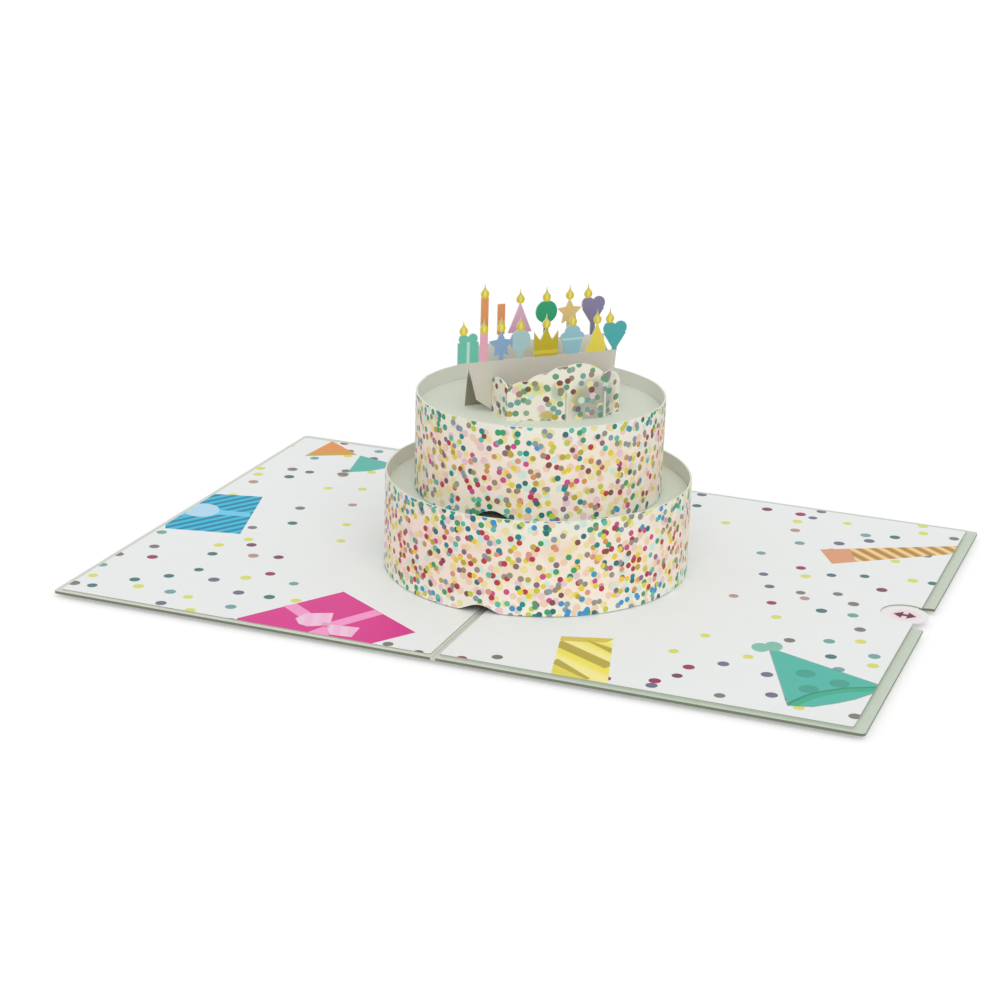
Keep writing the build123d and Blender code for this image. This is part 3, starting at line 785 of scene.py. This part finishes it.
@dataclass(frozen=True)
class RightPanelPrint(PanelPrint):
    """The right panel's motifs: a striped gift, a dotted party hat and a candle."""

    gift: Corners = ((29.1, -59.7), (43.8, -55.0), (53.4, -89.0), (36.2, -89.0))
    gift_sheen: tuple[float, ...] = (63.0, 11.3, 2.0)
    gift_lid: Corners = ((29.0, -59.0), (44.4, -54.4), (43.0, -58.6), (38.4, -60.6), (29.8, -63.0))
    gift_stripes: tuple[Corners, ...] = (
        ((28.4, -66.6), (30.6, -62.8), (50.6, -73.4), (48.6, -77.2)),
        ((34.0, -76.2), (32.6, -79.4), (46.4, -87.0), (47.2, -85.8)),
        ((38.4, -60.6), (36.6, -59.0), (46.4, -62.4), (47.6, -66.4)),
    )
    gift_base: Corners = ((34.2, -79.4), (46.8, -86.6), (46.4, -90.0), (34.2, -90.0))
    hat: Corners = (
        (88.9, -44.3), (91.4, -43.8), (124.8, -56.4), (124.8, -59.8), (122.8, -63.4),
        (119.7, -68.6), (115.7, -73.2), (109.9, -78.6), (103.5, -80.6),
    )
    brim: Corners = (
        (102.6, -84.0), (104.2, -78.0), (106.8, -72.2), (109.8, -68.0), (115.6, -62.6),
        (125.0, -57.6), (134.0, -53.6), (134.0, -70.0), (106.0, -92.0),
    )
    brim_width: float = 2.4
    outline_width: float = 0.35
    crease_width: float = 0.9
    hat_dots: Corners = ((102.6, -56.7), (106.1, -67.2), (113.2, -59.7))
    hat_dot_radii: Place = (2.9, 2.9)
    tufts: tuple[tuple[Place, Place, float], ...] = (
        ((85.7, -43.2), (3.4, 2.7), 105.0),
        ((89.0, -40.8), (3.6, 2.7), 105.0),
    )
    candle: Corners = ((82.0, 46.9), (124.8, 70.6), (124.8, 62.5), (88.8, 35.2))
    candle_end: Corners = ((76.0, 44.0), (90.6, 52.6), (96.2, 39.0), (88.0, 33.0))
    candle_twist: tuple[float, ...] = (50.0, 4.6, 1.2)
    candle_starts: tuple[float, ...] = (0.0, 0.34, 0.52, 0.86)
    candle_inks: tuple[Ink, ...] = inks("CANDLE_GOLD CANDLE_TAN CANDLE_CREAM CANDLE_TAN")

    def motifs(self, sheet: Sheet) -> None:
        """Lays the gift, the hat and the candle over the confetti.

        Args:
            sheet: the panel.
        """
        gift = sheet.lay(sheet.patch(self.gift), Ink.BOX_CREAM)
        sheet.lay(sheet.wave(self.gift_sheen, low=0.1, high=0.4) * gift, Ink.BOX_YELLOW)
        sheet.lay(sheet.patch(self.gift_lid) * gift, Ink.BOX_OCHRE)
        sheet.lay(sheet.patch(self.gift_base) * gift, Ink.BOX_OCHRE, strength=0.45)
        sheet.lay(sheet.patches(self.gift_stripes) * gift, Ink.BOX_GOLD)
        self._hat(sheet)
        stops = list(zip(self.candle_starts, self.candle_inks))
        twist = sheet.recipe.bands(sheet.through(*self.candle_twist), stops)
        candle = sheet.lay(sheet.patch(self.candle), twist)
        sheet.lay(sheet.patch(self.candle_end) * candle, Ink.CANDLE_SALMON)

    def _hat(self, sheet: Sheet) -> None:
        """Lays the dotted hat with its brim and tuft.

        Args:
            sheet: the panel.
        """
        sheet.lay(sheet.patch(self.hat, self.outline_width), Ink.HAT_LINE, strength=0.7)
        hat = sheet.lay(sheet.patch(self.hat), Ink.HAT_GREEN)
        for centre in self.hat_dots:
            dot = sheet.blob(centre, self.hat_dot_radii) * hat
            sheet.lay(dot, Ink.HAT_GREEN_DARK, strength=0.6)
        brim = sheet.lay(sheet.patch(self.brim) * hat, Ink.HAT_BRIM)
        sheet.lay(sheet.patch(self.brim, -self.brim_width) * hat, Ink.HAT_GREEN)
        sheet.lay(sheet.patch(self.brim, self.crease_width) * hat - brim, Ink.HAT_GREEN_DARK)
        for tuft in self.tufts:
            sheet.lay(sheet.blob(*tuft), Ink.TUFT_GREEN)


@dataclass(frozen=True)
class MessagePrint:
    """The message card: white, with a rose spot on its finger tab and a plain two-headed arrow."""

    tab_x: float = 119.6
    tab_y: float = 1.4
    spot_radius: float = 5.6
    spot_full_share: float = 0.55
    arrow_half: float = 3.6
    shaft_half_width: float = 0.8
    head_half_width: float = 2.7
    head_length: float = 2.8

    def make(self, name: str) -> bpy.types.Material:
        """Builds the material.

        Args:
            name: the material's name.

        Returns:
            The material.
        """
        recipe = Recipe.named(name)
        x, y, _ = recipe.place
        right, up = x - self.tab_x, y - self.tab_y
        off = recipe.distance(right, up)
        spot = 1 - recipe.ease(off, self.spot_radius * self.spot_full_share, self.spot_radius)
        colour = recipe.paint(spot, Ink.TAB_ROSE, Ink.TAB_WHITE)
        shaft = abs(right) < self.arrow_half - self.head_length / 2
        slope = self.head_half_width / self.head_length
        head = abs(up) + abs(right) * slope < self.arrow_half * slope
        head = head * (abs(right) > self.arrow_half - self.head_length)
        mark = (shaft * (abs(up) < self.shaft_half_width)).most(head)
        return recipe.finish(recipe.paint(mark, Ink.TAB_MARK, colour), COATED, mark)


@dataclass(frozen=True)
class TierPrint:
    """The outside of a tier's wall: white card with peach clouds, pale rims and confetti."""

    radius: float
    bottom: float
    height: float
    shift: float
    cloud_size: float = 7.0
    cloud_detail: float = 2.0
    cloud_from: float = 0.45
    cloud_full: float = 0.75
    cloud_strength: float = 0.6
    rim_from: float = 0.45
    rim_full: float = 1.0
    rim_strength: float = 0.8

    def make(self, name: str) -> bpy.types.Material:
        """Builds the material.

        Args:
            name: the material's name.

        Returns:
            The material.
        """
        recipe = Recipe.named(name)
        x, y, z = recipe.place
        around = recipe.math("ARCTAN2", y - CAKE_Y, x) * self.radius + self.shift
        banded = BandedWall(self.bottom, self.height)
        clouds = recipe.noise(self.cloud_size, self.cloud_detail)
        clouds = recipe.ease(clouds, self.cloud_from, self.cloud_full) * self.cloud_strength
        rims = recipe.ease(banded.off_middle(z), self.rim_from, self.rim_full) * self.rim_strength
        paper = recipe.paint(clouds, Ink.PALE_PEACH, Ink.WALL_WHITE)
        sheet = Sheet(recipe, around, z, recipe.paint(rims, Ink.RIM_WHITE, paper))
        for dots in WALL_CONFETTI:
            dots.lay(sheet, banded)
        return recipe.finish(sheet.colour, COATED, sheet.inked)


def row_axes(x: Field, y: Field) -> tuple[Field, Field]:
    """A place from the cake's middle, or a direction, along and across the topper rows."""
    return x * cos(ROW_TURN) + y * sin(ROW_TURN), x * sin(ROW_TURN) - y * cos(ROW_TURN)


@dataclass(frozen=True)
class Accent:
    """A band of a second ink, as print or as painted shade: from and to along the row, and from and
    to in height.
    """

    low: float
    high: float
    bottom: float
    top: float
    ink: Ink
    strength: float = 1.0
    fade_from: float = 0.25
    fade_to: float = 1.2

    def lay(self, sheet: Sheet) -> None:
        """Lays the band with straight edges.

        Args:
            sheet: the sheet, with places along the row and heights.
        """
        inside = (sheet.x > self.low) * (sheet.x < self.high)
        inside = inside * (sheet.y > self.bottom) * (sheet.y < self.top)
        sheet.lay(inside, self.ink, self.strength)

    def lay_soft(self, sheet: Sheet) -> None:
        """Lays the band as an oval that fades out.

        Args:
            sheet: the sheet, with places along the row and heights.
        """
        right = (sheet.x - (self.low + self.high) / 2) / ((self.high - self.low) / 2)
        up = (sheet.y - (self.bottom + self.top) / 2) / ((self.top - self.bottom) / 2)
        fade = sheet.recipe.ease(right * right + up * up, self.fade_from, self.fade_to)
        sheet.lay(1 - fade, self.ink, self.strength)


@dataclass(frozen=True)
class TopTierPrint:
    """The small top tier: confetti where it faces out over soft print tints and painted shade, and
    plain card inside and on edges.
    """

    middle_across: float
    accents: tuple[Accent, ...]
    middle_along: float = 2.0
    faces_out: float = 4.0
    side_on_from: float = 0.8

    def make(self, name: str) -> bpy.types.Material:
        """Builds the material.

        Args:
            name: the material's name.

        Returns:
            The material.
        """
        recipe = Recipe.named(name)
        x, y, z = recipe.place
        nx, ny, nz = recipe.facing
        along, across = row_axes(x, y - CAKE_Y)
        n_along, n_across = row_axes(nx, ny)
        outward = n_along * (along - self.middle_along) + n_across * (across - self.middle_across)
        outside = (outward > self.faces_out) * (abs(nz) < MOSTLY)
        # Soft bands under the confetti: yellow print tints, and bands of painted shade.
        tints_and_painted_shade = Sheet(recipe, along, z, Ink.TOP_WHITE)
        for accent in self.accents:
            accent.lay_soft(tints_and_painted_shade)
        side_on = abs(n_along) > self.side_on_from
        sheet = Sheet(recipe, along + (across - along) * side_on, z, tints_and_painted_shade.colour)
        for dots in TOP_CONFETTI:
            dots.lay(sheet)
        colour = recipe.paint(outside, sheet.colour, Ink.PLAIN)
        colour = recipe.paint(nz > MOSTLY, Ink.CORE, colour)
        return recipe.finish(colour, COATED, sheet.inked * outside)


@dataclass(frozen=True)
class ToppersPrint:
    """A row of toppers: each in its own ink, with yellow flames, over a plain strip with painted
    shade low on its front face.
    """

    foot: float
    lit_from: float
    strip_ink: Ink
    starts: tuple[float, ...]
    inks: tuple[Ink, ...]
    flames: Corners
    accents: tuple[Accent, ...]
    reach: float = 30.0
    flame_half: float = 1.45
    core_rise: float = 1.584
    core_radii: Place = (0.5, 1.2)
    shade_depth: float = 4.0
    edge_strength: float = 0.6

    def make(self, name: str) -> bpy.types.Material:
        """Builds the material.

        Args:
            name: the material's name.

        Returns:
            The material.
        """
        recipe = Recipe.named(name)
        x, y, z = recipe.place
        nx, ny, _ = recipe.facing
        along, _ = row_axes(x, y - CAKE_Y)
        _, facing = row_axes(nx, ny)
        starts = ((start + self.reach) / (2 * self.reach) for start in self.starts)
        share = (along + self.reach) / (2 * self.reach)
        colour = recipe.bands(share, list(zip(starts, self.inks)))
        sheet = Sheet(recipe, along, z, colour)
        for accent in self.accents:
            accent.lay(sheet)
        for place, bottom in self.flames:
            flame = (abs(along - place) < self.flame_half) * (z > bottom)
            core = sheet.blob((place, bottom + self.core_rise), self.core_radii)
            sheet.lay(flame, recipe.paint(core, Ink.FLAME_CORE, Ink.FLAME))
        # Painted shade: below lit_from, the strip's face that looks to the front is darkened,
        # fading in over shade_depth.
        shade = 1 - recipe.ease(z, self.lit_from - self.shade_depth, self.lit_from)
        strip = recipe.paint(shade * (facing > MOSTLY), Ink.STRIP_PAINTED_SHADE, self.strip_ink)
        printed = z > self.foot
        colour = recipe.paint(printed, sheet.colour, strip)
        face = abs(facing) > MOSTLY
        colour = recipe.paint((1 - face) * self.edge_strength, Ink.CORE, colour)
        return recipe.finish(colour, COATED, printed * face)


@dataclass
class Finishes:
    """The finishes that several sheets share, made once."""

    cover: bpy.types.Material
    plain: bpy.types.Material
    disc: bpy.types.Material
    core: bpy.types.Material
    strip: bpy.types.Material

    @classmethod
    def make(cls) -> "Finishes":
        """Builds the shared materials."""
        return cls(
            cover=CoverFinish().make("green_card"),
            plain=PlainFinish(Ink.PLAIN, UNCOATED).make("plain_card"),
            disc=PlainFinish(Ink.DISC, UNCOATED).make("disc_card"),
            core=PlainFinish(Ink.CORE, UNCOATED).make("cut_edge"),
            # The pocket strips: green card, in a darker sage as painted shade on their side faces.
            strip=PlainFinish(Ink.SAGE_PAINTED_SHADE, LAMINATED).make("green_strip"),
        )


def dress(node: str, material: bpy.types.Material) -> None:
    """Gives a CAD node its finish.

    Args:
        node: the node's name.
        material: the finish.
    """
    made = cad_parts[node]
    if made.material_slots:
        made.material_slots[0].material = material
    else:
        made.data.materials.append(material)
    LOG.info("dressed %s with %s", node, material.name)


def add_object(name: str, bm: bmesh.types.BMesh) -> bpy.types.Object:
    """Turns a bmesh into an object of the scene.

    Args:
        name: the object's name.
        bm: its mesh in metres, which is freed.

    Returns:
        The object.
    """
    mesh = bpy.data.meshes.new(name)
    bm.to_mesh(mesh)
    bm.free()
    made = bpy.data.objects.new(name, mesh)
    bpy.context.scene.collection.objects.link(made)
    return made


class Side(Enum):
    """The two halves of a tier's wall, by the sign of Y from the cake's middle."""

    FRONT = -1
    BACK = 1


@dataclass(frozen=True)
class Tier:
    """One round tier: two walls, a disc, two ribs and two seam tabs."""

    name: str
    radius: float
    bottom: float
    height: float
    arch_width: float
    arch_height: float
    stands_on_panels: bool
    shift: float

    def build(self, finishes: Finishes) -> None:
        """Builds the walls and dresses the rest.

        Args:
            finishes: the shared finishes.
        """
        printed = TierPrint(self.radius, self.bottom, self.height, self.shift)
        outside = printed.make(f"{self.name}_confetti")
        for side in Side:
            TierWall(self, side).build(outside, finishes)
        dress(f"{self.name}_disc", finishes.disc)
        for hidden in ("rib_left", "rib_right", "seam_tab_left", "seam_tab_right"):
            dress(f"{self.name}_{hidden}", finishes.plain)


@dataclass(frozen=True)
class TierWall:
    """Half of a tier's wall: a strip of card bent round from one side seam to the other.

    A bent strip is never a true cylinder, so it swells and flattens by a small wave, more at its
    free upper edge than at its foot, with a finer ripple all over.
    """

    tier: Tier
    side: Side
    thickness: float = 0.6
    seam_gap: float = 0.3
    steps: int = 144
    rows: int = 10
    wave: float = 0.16
    wave_at_foot: float = 0.35
    waves: int = 3
    wave_start: float = 0.9
    ripple: float = 0.06
    ripples: int = 11
    seam_lift: float = 0.35
    seam_reach: float = 0.12
    clearance: float = 0.3
    facing_from: float = 0.6

    def build(self, outside: bpy.types.Material, finishes: Finishes) -> None:
        """Builds and dresses the wall, in the place of its CAD node.

        Args:
            outside: the finish of its outside.
            finishes: the shared finishes.
        """
        tier = self.tier
        bm = bmesh.new()
        gap = self.seam_gap / 2 / tier.radius
        start = gap if self.side is Side.BACK else pi + gap
        column = []
        for row in range(self.rows + 1):
            z = tier.bottom + tier.height * row / self.rows
            place = (tier.radius * cos(start), CAKE_Y + tier.radius * sin(start), z)
            column.append(bmesh.ops.create_vert(bm, co=Vector(place) * MM)["vert"][0])
        edges = [bm.edges.new(pair) for pair in zip(column, column[1:])]
        bmesh.ops.spin(
            bm,
            geom=[*column, *edges],
            cent=(0, CAKE_Y * MM, 0),
            axis=(0, 0, 1),
            angle=pi - 2 * gap,
            steps=self.steps,
            use_merge=False,
        )
        self._bend(bm)
        self._thicken(bm)
        node = f"{tier.name}_wall_{self.side.name.lower()}"
        piece = add_object(f"{node}_skin", bm)
        for material in (outside, finishes.plain, finishes.core):
            piece.data.materials.append(material)
        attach(piece, ROOT)
        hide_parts(node)
        LOG.info("built %s for %s", piece.name, node)

    def _bend(self, bm: bmesh.types.BMesh) -> None:
        """Gives the strip its arch, its small waves, and the lift at the back wall's seams.

        Args:
            bm: the strip, spun round the cake's middle.
        """
        tier = self.tier
        for vert in bm.verts:
            x, y, z = vert.co / MM
            angle = atan2(y - CAKE_Y, x)
            rise = (z - tier.bottom) / tier.height
            arch = tier.arch_height * cos(pi * min(abs(x) / tier.arch_width, 0.5)) ** 2
            z += arch * (1 - rise)
            wave = self.wave * (self.wave_at_foot + (1 - self.wave_at_foot) * rise)
            swell = wave * sin(self.waves * angle + self.wave_start)
            swell += self.ripple * sin(self.ripples * angle)
            reach = tier.radius + swell - self.wave
            if self.side is Side.BACK:
                seam = max(0.0, 1 - abs(sin(angle)) / self.seam_reach)
                reach += self.seam_lift * seam * seam
            floor = RIGHT_FACE if tier.stands_on_panels and x > 0 else tier.bottom
            z = max(z, floor + self.clearance)
            vert.co = Vector((reach * cos(angle), CAKE_Y + reach * sin(angle), z)) * MM

    def _thicken(self, bm: bmesh.types.BMesh) -> None:
        """Makes the strip a wall of card, and numbers its faces: outside, inside and cut edges.

        Args:
            bm: the bent strip.
        """
        centre = Vector((0, CAKE_Y * MM, 0))
        for face in bm.faces:
            face.normal_update()
        outward = [f for f in bm.faces if f.normal.dot(f.calc_center_median() - centre) < 0]
        bmesh.ops.reverse_faces(bm, faces=outward)
        bmesh.ops.solidify(bm, geom=bm.faces[:], thickness=self.thickness * MM)
        bmesh.ops.recalc_face_normals(bm, faces=bm.faces[:])
        for face in bm.faces:
            spot = face.calc_center_median() - centre
            spot.z = 0
            lean = face.normal.dot(spot.normalized())
            inside = 1 if lean < -self.facing_from else 2
            face.material_index = 0 if lean > self.facing_from else inside
            face.smooth = face.material_index != 2
        for edge in bm.edges:
            edge.smooth = len({face.material_index for face in edge.link_faces}) == 1


@dataclass(frozen=True)
class Folder:
    """What lies flat: the cover, the two panels, the pocket's strips and the message card."""

    def build(self, finishes: Finishes) -> None:
        """Dresses the flat sheets.

        Args:
            finishes: the shared finishes.
        """
        dress("cover_card", finishes.cover)
        dress("left_panel", LeftPanelPrint().make("left_print"))
        dress("right_panel", RightPanelPrint().make("right_print"))
        dress("message_card", MessagePrint().make("message_print"))
        for place in ("front", "back", "fold"):
            dress(f"pocket_strip_{place}", finishes.strip)


@dataclass(frozen=True)
class TopTier:
    """The creased top tier, its cross ribs and the two rows of toppers."""

    front_strip_top: float = UPPER_FLOOR + 16.5
    back_strip_top: float = UPPER_FLOOR + 19.5
    back_stem_height: float = 3.2
    back_shade_drop: float = 3.6
    flame_rise: float = 8.9
    tall_flame_rise: float = 11.5
    front_middle: float = 3.0
    back_middle: float = -12.0

    def build(self, finishes: Finishes) -> None:
        """Dresses the walls, the ribs and the toppers.

        Args:
            finishes: the shared finishes.
        """
        accents = (
            Accent(-15.5, -3.0, 61.4, 66.4, Ink.LEMON, 0.85),
            Accent(-7.2, -1.6, 53.6, 57.2, Ink.OLIVE, 0.8),
            Accent(2.2, 7.6, 56.6, 64.4, Ink.LEMON, 0.7),
            # Painted shade: the grey-green band by the middle crease and the taupe over the right
            # part.
            Accent(-4.0, 1.4, 59.4, 66.8, Ink.GREY_GREEN, 0.6),
            Accent(1.0, 20.0, 49.0, 68.0, Ink.TAUPE, 0.72),
            Accent(12.4, 17.2, 64.6, 69.4, Ink.SOFT_PLUM, 0.75),
        )
        front = TopTierPrint(self.front_middle, accents)
        dress("top_wall_front", front.make("top_confetti_front"))
        dress("top_wall_back", TopTierPrint(self.back_middle, ()).make("top_confetti_back"))
        for place in ("left", "middle", "right"):
            dress(f"cross_rib_{place}", finishes.plain)
        dress("front_topper_strip", self._front_row().make("front_toppers"))
        dress("back_topper_strip", self._back_row().make("back_toppers"))

    def _front_row(self) -> ToppersPrint:
        """The lower row's inks, from the gift to the heart."""
        top = self.front_strip_top
        places = (-26.9, -20.0, -14.2, -7.6, 1.3, 10.4, 19.0, 23.4)
        return ToppersPrint(
            foot=top,
            lit_from=0.0,
            strip_ink=Ink.STRIP,
            starts=(-30.0, -21.6, -18.6, -10.4, -3.6, 5.9, 14.7, 22.2),
            inks=inks(
                "TOP_TEAL TOP_PINK TOP_STEEL TOP_MIST TOP_OLIVE TOP_SKY TOP_YELLOW TOP_DEEP_TEAL"
            ),
            flames=tuple((place, top + self.flame_rise) for place in places),
            accents=(
                Accent(-25.8, -24.8, top, top + 6.8, Ink.PALE_MINT, 0.7),
                Accent(-2.9, 5.5, top + 0.8, top + 2.0, Ink.TOP_YELLOW, 0.6),
                Accent(6.0, 14.6, top + 4.4, top + 5.2, Ink.PALE_MINT, 0.6),
                Accent(21.15, 22.3, top + 4.3, top + 9.6, Ink.TOP_DEEP_TEAL),
            ),
        )

    def _back_row(self) -> ToppersPrint:
        """The upper row's inks, from the pair of candles to the heart."""
        top = self.back_strip_top + self.back_stem_height
        flames = ((place, top + self.flame_rise) for place in (-3.8, 5.3, 13.4, 19.9))
        return ToppersPrint(
            foot=self.back_strip_top,
            lit_from=self.front_strip_top - self.back_shade_drop,
            # Painted light: the back strip gets a lighter card tone than the front strip.
            strip_ink=Ink.STRIP_PAINTED_LIGHT,
            starts=(-30.0, -8.5, 0.9, 9.2, 17.75),
            inks=inks("TOP_ORANGE TOP_LILAC TOP_GREEN TOP_CREAM TOP_PURPLE"),
            flames=((-16.0, top + self.tall_flame_rise), *flames),
            accents=(Accent(-12.0, -8.8, top + 3.0, top + 4.2, Ink.TOP_CREAM, 0.6),),
        )


@dataclass(frozen=True)
class PhotoCamera:
    """The camera: its place in millimetres, turn in radians, and focal length in image widths."""

    place: tuple[float, float, float] = (228.110, -641.548, 255.588)
    yaw: float = -0.360843
    pitch: float = 0.331762
    roll: float = 0.026578
    focal_widths: float = 2.235563
    sensor: float = 36.0
    nearest: float = 10.0
    farthest: float = 20000.0

    def build(self) -> None:
        """Makes the camera and sets it as the scene's."""
        ahead = cos(self.pitch)
        forward = Vector((sin(self.yaw) * ahead, cos(self.yaw) * ahead, -sin(self.pitch)))
        level = Vector((cos(self.yaw), -sin(self.yaw), 0))
        upright = level.cross(forward)
        right = cos(self.roll) * level + sin(self.roll) * upright
        up = cos(self.roll) * upright - sin(self.roll) * level
        data = bpy.data.cameras.new("photo_camera")
        data.sensor_width = self.sensor
        data.lens = self.focal_widths * self.sensor
        data.clip_start = self.nearest * MM
        data.clip_end = self.farthest * MM
        camera = bpy.data.objects.new("photo_camera", data)
        bpy.context.scene.collection.objects.link(camera)
        turned = Matrix((right, up, -forward)).transposed().to_4x4()
        camera.matrix_world = Matrix.Translation(Vector(self.place) * MM) @ turned
        bpy.context.scene.camera = camera
        LOG.info("camera at %s mm", self.place)


@dataclass(frozen=True)
class SoftLamp:
    """A far, wide lamp: its place and width as seen from the card, in degrees, and its power."""

    name: str
    heading: float
    height: float
    width: float
    power: float

    def build(self) -> None:
        """Makes the lamp."""
        data = bpy.data.lights.new(self.name, "SUN")
        data.angle = radians(self.width)
        data.energy = self.power
        lamp = bpy.data.objects.new(self.name, data)
        bpy.context.scene.collection.objects.link(lamp)
        turn, tilt = radians(self.heading), radians(self.height)
        place = Vector((sin(turn) * cos(tilt), -cos(turn) * cos(tilt), sin(tilt)))
        lamp.location = place
        lamp.rotation_euler = (-place).to_track_quat("-Z", "Y").to_euler()


@dataclass(frozen=True)
class Studio:
    """A pale floor, whose size is in metres, a soft lamp and an even white surround."""

    floor_size: float = 30.0
    floor_drop: float = 1.5
    floor_level: float = 0.8
    floor_lift: float = 0.305
    sky: float = 0.715
    white: tuple[float, ...] = (1.0, 1.0, 1.0, 1.0)
    lamp: SoftLamp = SoftLamp("key_lamp", heading=29.0, height=42.0, width=55.0, power=0.93)

    def build(self) -> None:
        """Makes the floor, the lamp and the world."""
        self._floor()
        self.lamp.build()
        self._world()
        bpy.context.scene.view_settings.view_transform = "Standard"

    def _floor(self) -> None:
        """A wide floor, which the camera sees as white where no shadow falls."""
        bm = bmesh.new()
        bmesh.ops.create_grid(bm, x_segments=1, y_segments=1, size=self.floor_size / 2)
        bmesh.ops.translate(bm, verts=bm.verts[:], vec=(0, 0, -self.floor_drop * MM))
        floor = add_object("studio_floor", bm)
        recipe = Recipe.named("studio_paper")
        level = (*(self.floor_level,) * 3, 1.0)
        matt = recipe.node("ShaderNodeBsdfDiffuse", inputs={"Color": level})
        seen = Field(recipe, recipe.node("ShaderNodeLightPath").outputs["Is Camera Ray"])
        strength = (seen * self.floor_lift).socket
        lift = recipe.node("ShaderNodeEmission", inputs={"Strength": strength})
        inputs = {0: matt.outputs[0], 1: lift.outputs[0]}
        both = recipe.node("ShaderNodeAddShader", inputs=inputs)
        recipe.node("ShaderNodeOutputMaterial", inputs={"Surface": both.outputs[0]})
        floor.data.materials.append(recipe.owner)

    def _world(self) -> None:
        """An even surround: plain light on the card, and white for camera and glossy rays."""
        world = bpy.data.worlds.new("studio_surround")
        recipe = Recipe(world)
        path = recipe.node("ShaderNodeLightPath").outputs
        rays = (Field(recipe, path[name]) for name in ("Is Camera Ray", "Is Glossy Ray"))
        inputs = {0: reduce(Field.most, rays).socket}
        for name, strength in ((1, self.sky), (2, 1.0)):
            shade = {"Color": self.white, "Strength": strength}
            inputs[name] = recipe.node("ShaderNodeBackground", inputs=shade).outputs[0]
        mix = recipe.node("ShaderNodeMixShader", inputs=inputs)
        recipe.node("ShaderNodeOutputWorld", inputs={"Surface": mix.outputs[0]})
        bpy.context.scene.world = world


LOWER_TIER = Tier(
    name="lower",
    radius=49.0,
    bottom=LEFT_FACE,
    height=31.3,
    arch_width=19.0,
    arch_height=2.9,
    stands_on_panels=True,
    shift=0.0,
)
UPPER_TIER = Tier(
    name="upper",
    radius=39.6,
    bottom=LOWER_FLOOR,
    height=31.3,
    arch_width=20.0,
    arch_height=3.9,
    stands_on_panels=False,
    shift=61.0,
)


def main() -> None:
    """Builds and dresses the card, part by part, then the studio round it."""
    logging.basicConfig(level=logging.INFO, format="%(name)s: %(message)s")
    PhotoCamera().build()
    finishes = Finishes.make()
    Folder().build(finishes)
    LOWER_TIER.build(finishes)
    UPPER_TIER.build(finishes)
    TopTier().build(finishes)
    Studio().build()


if __name__ == "__main__":
    main()
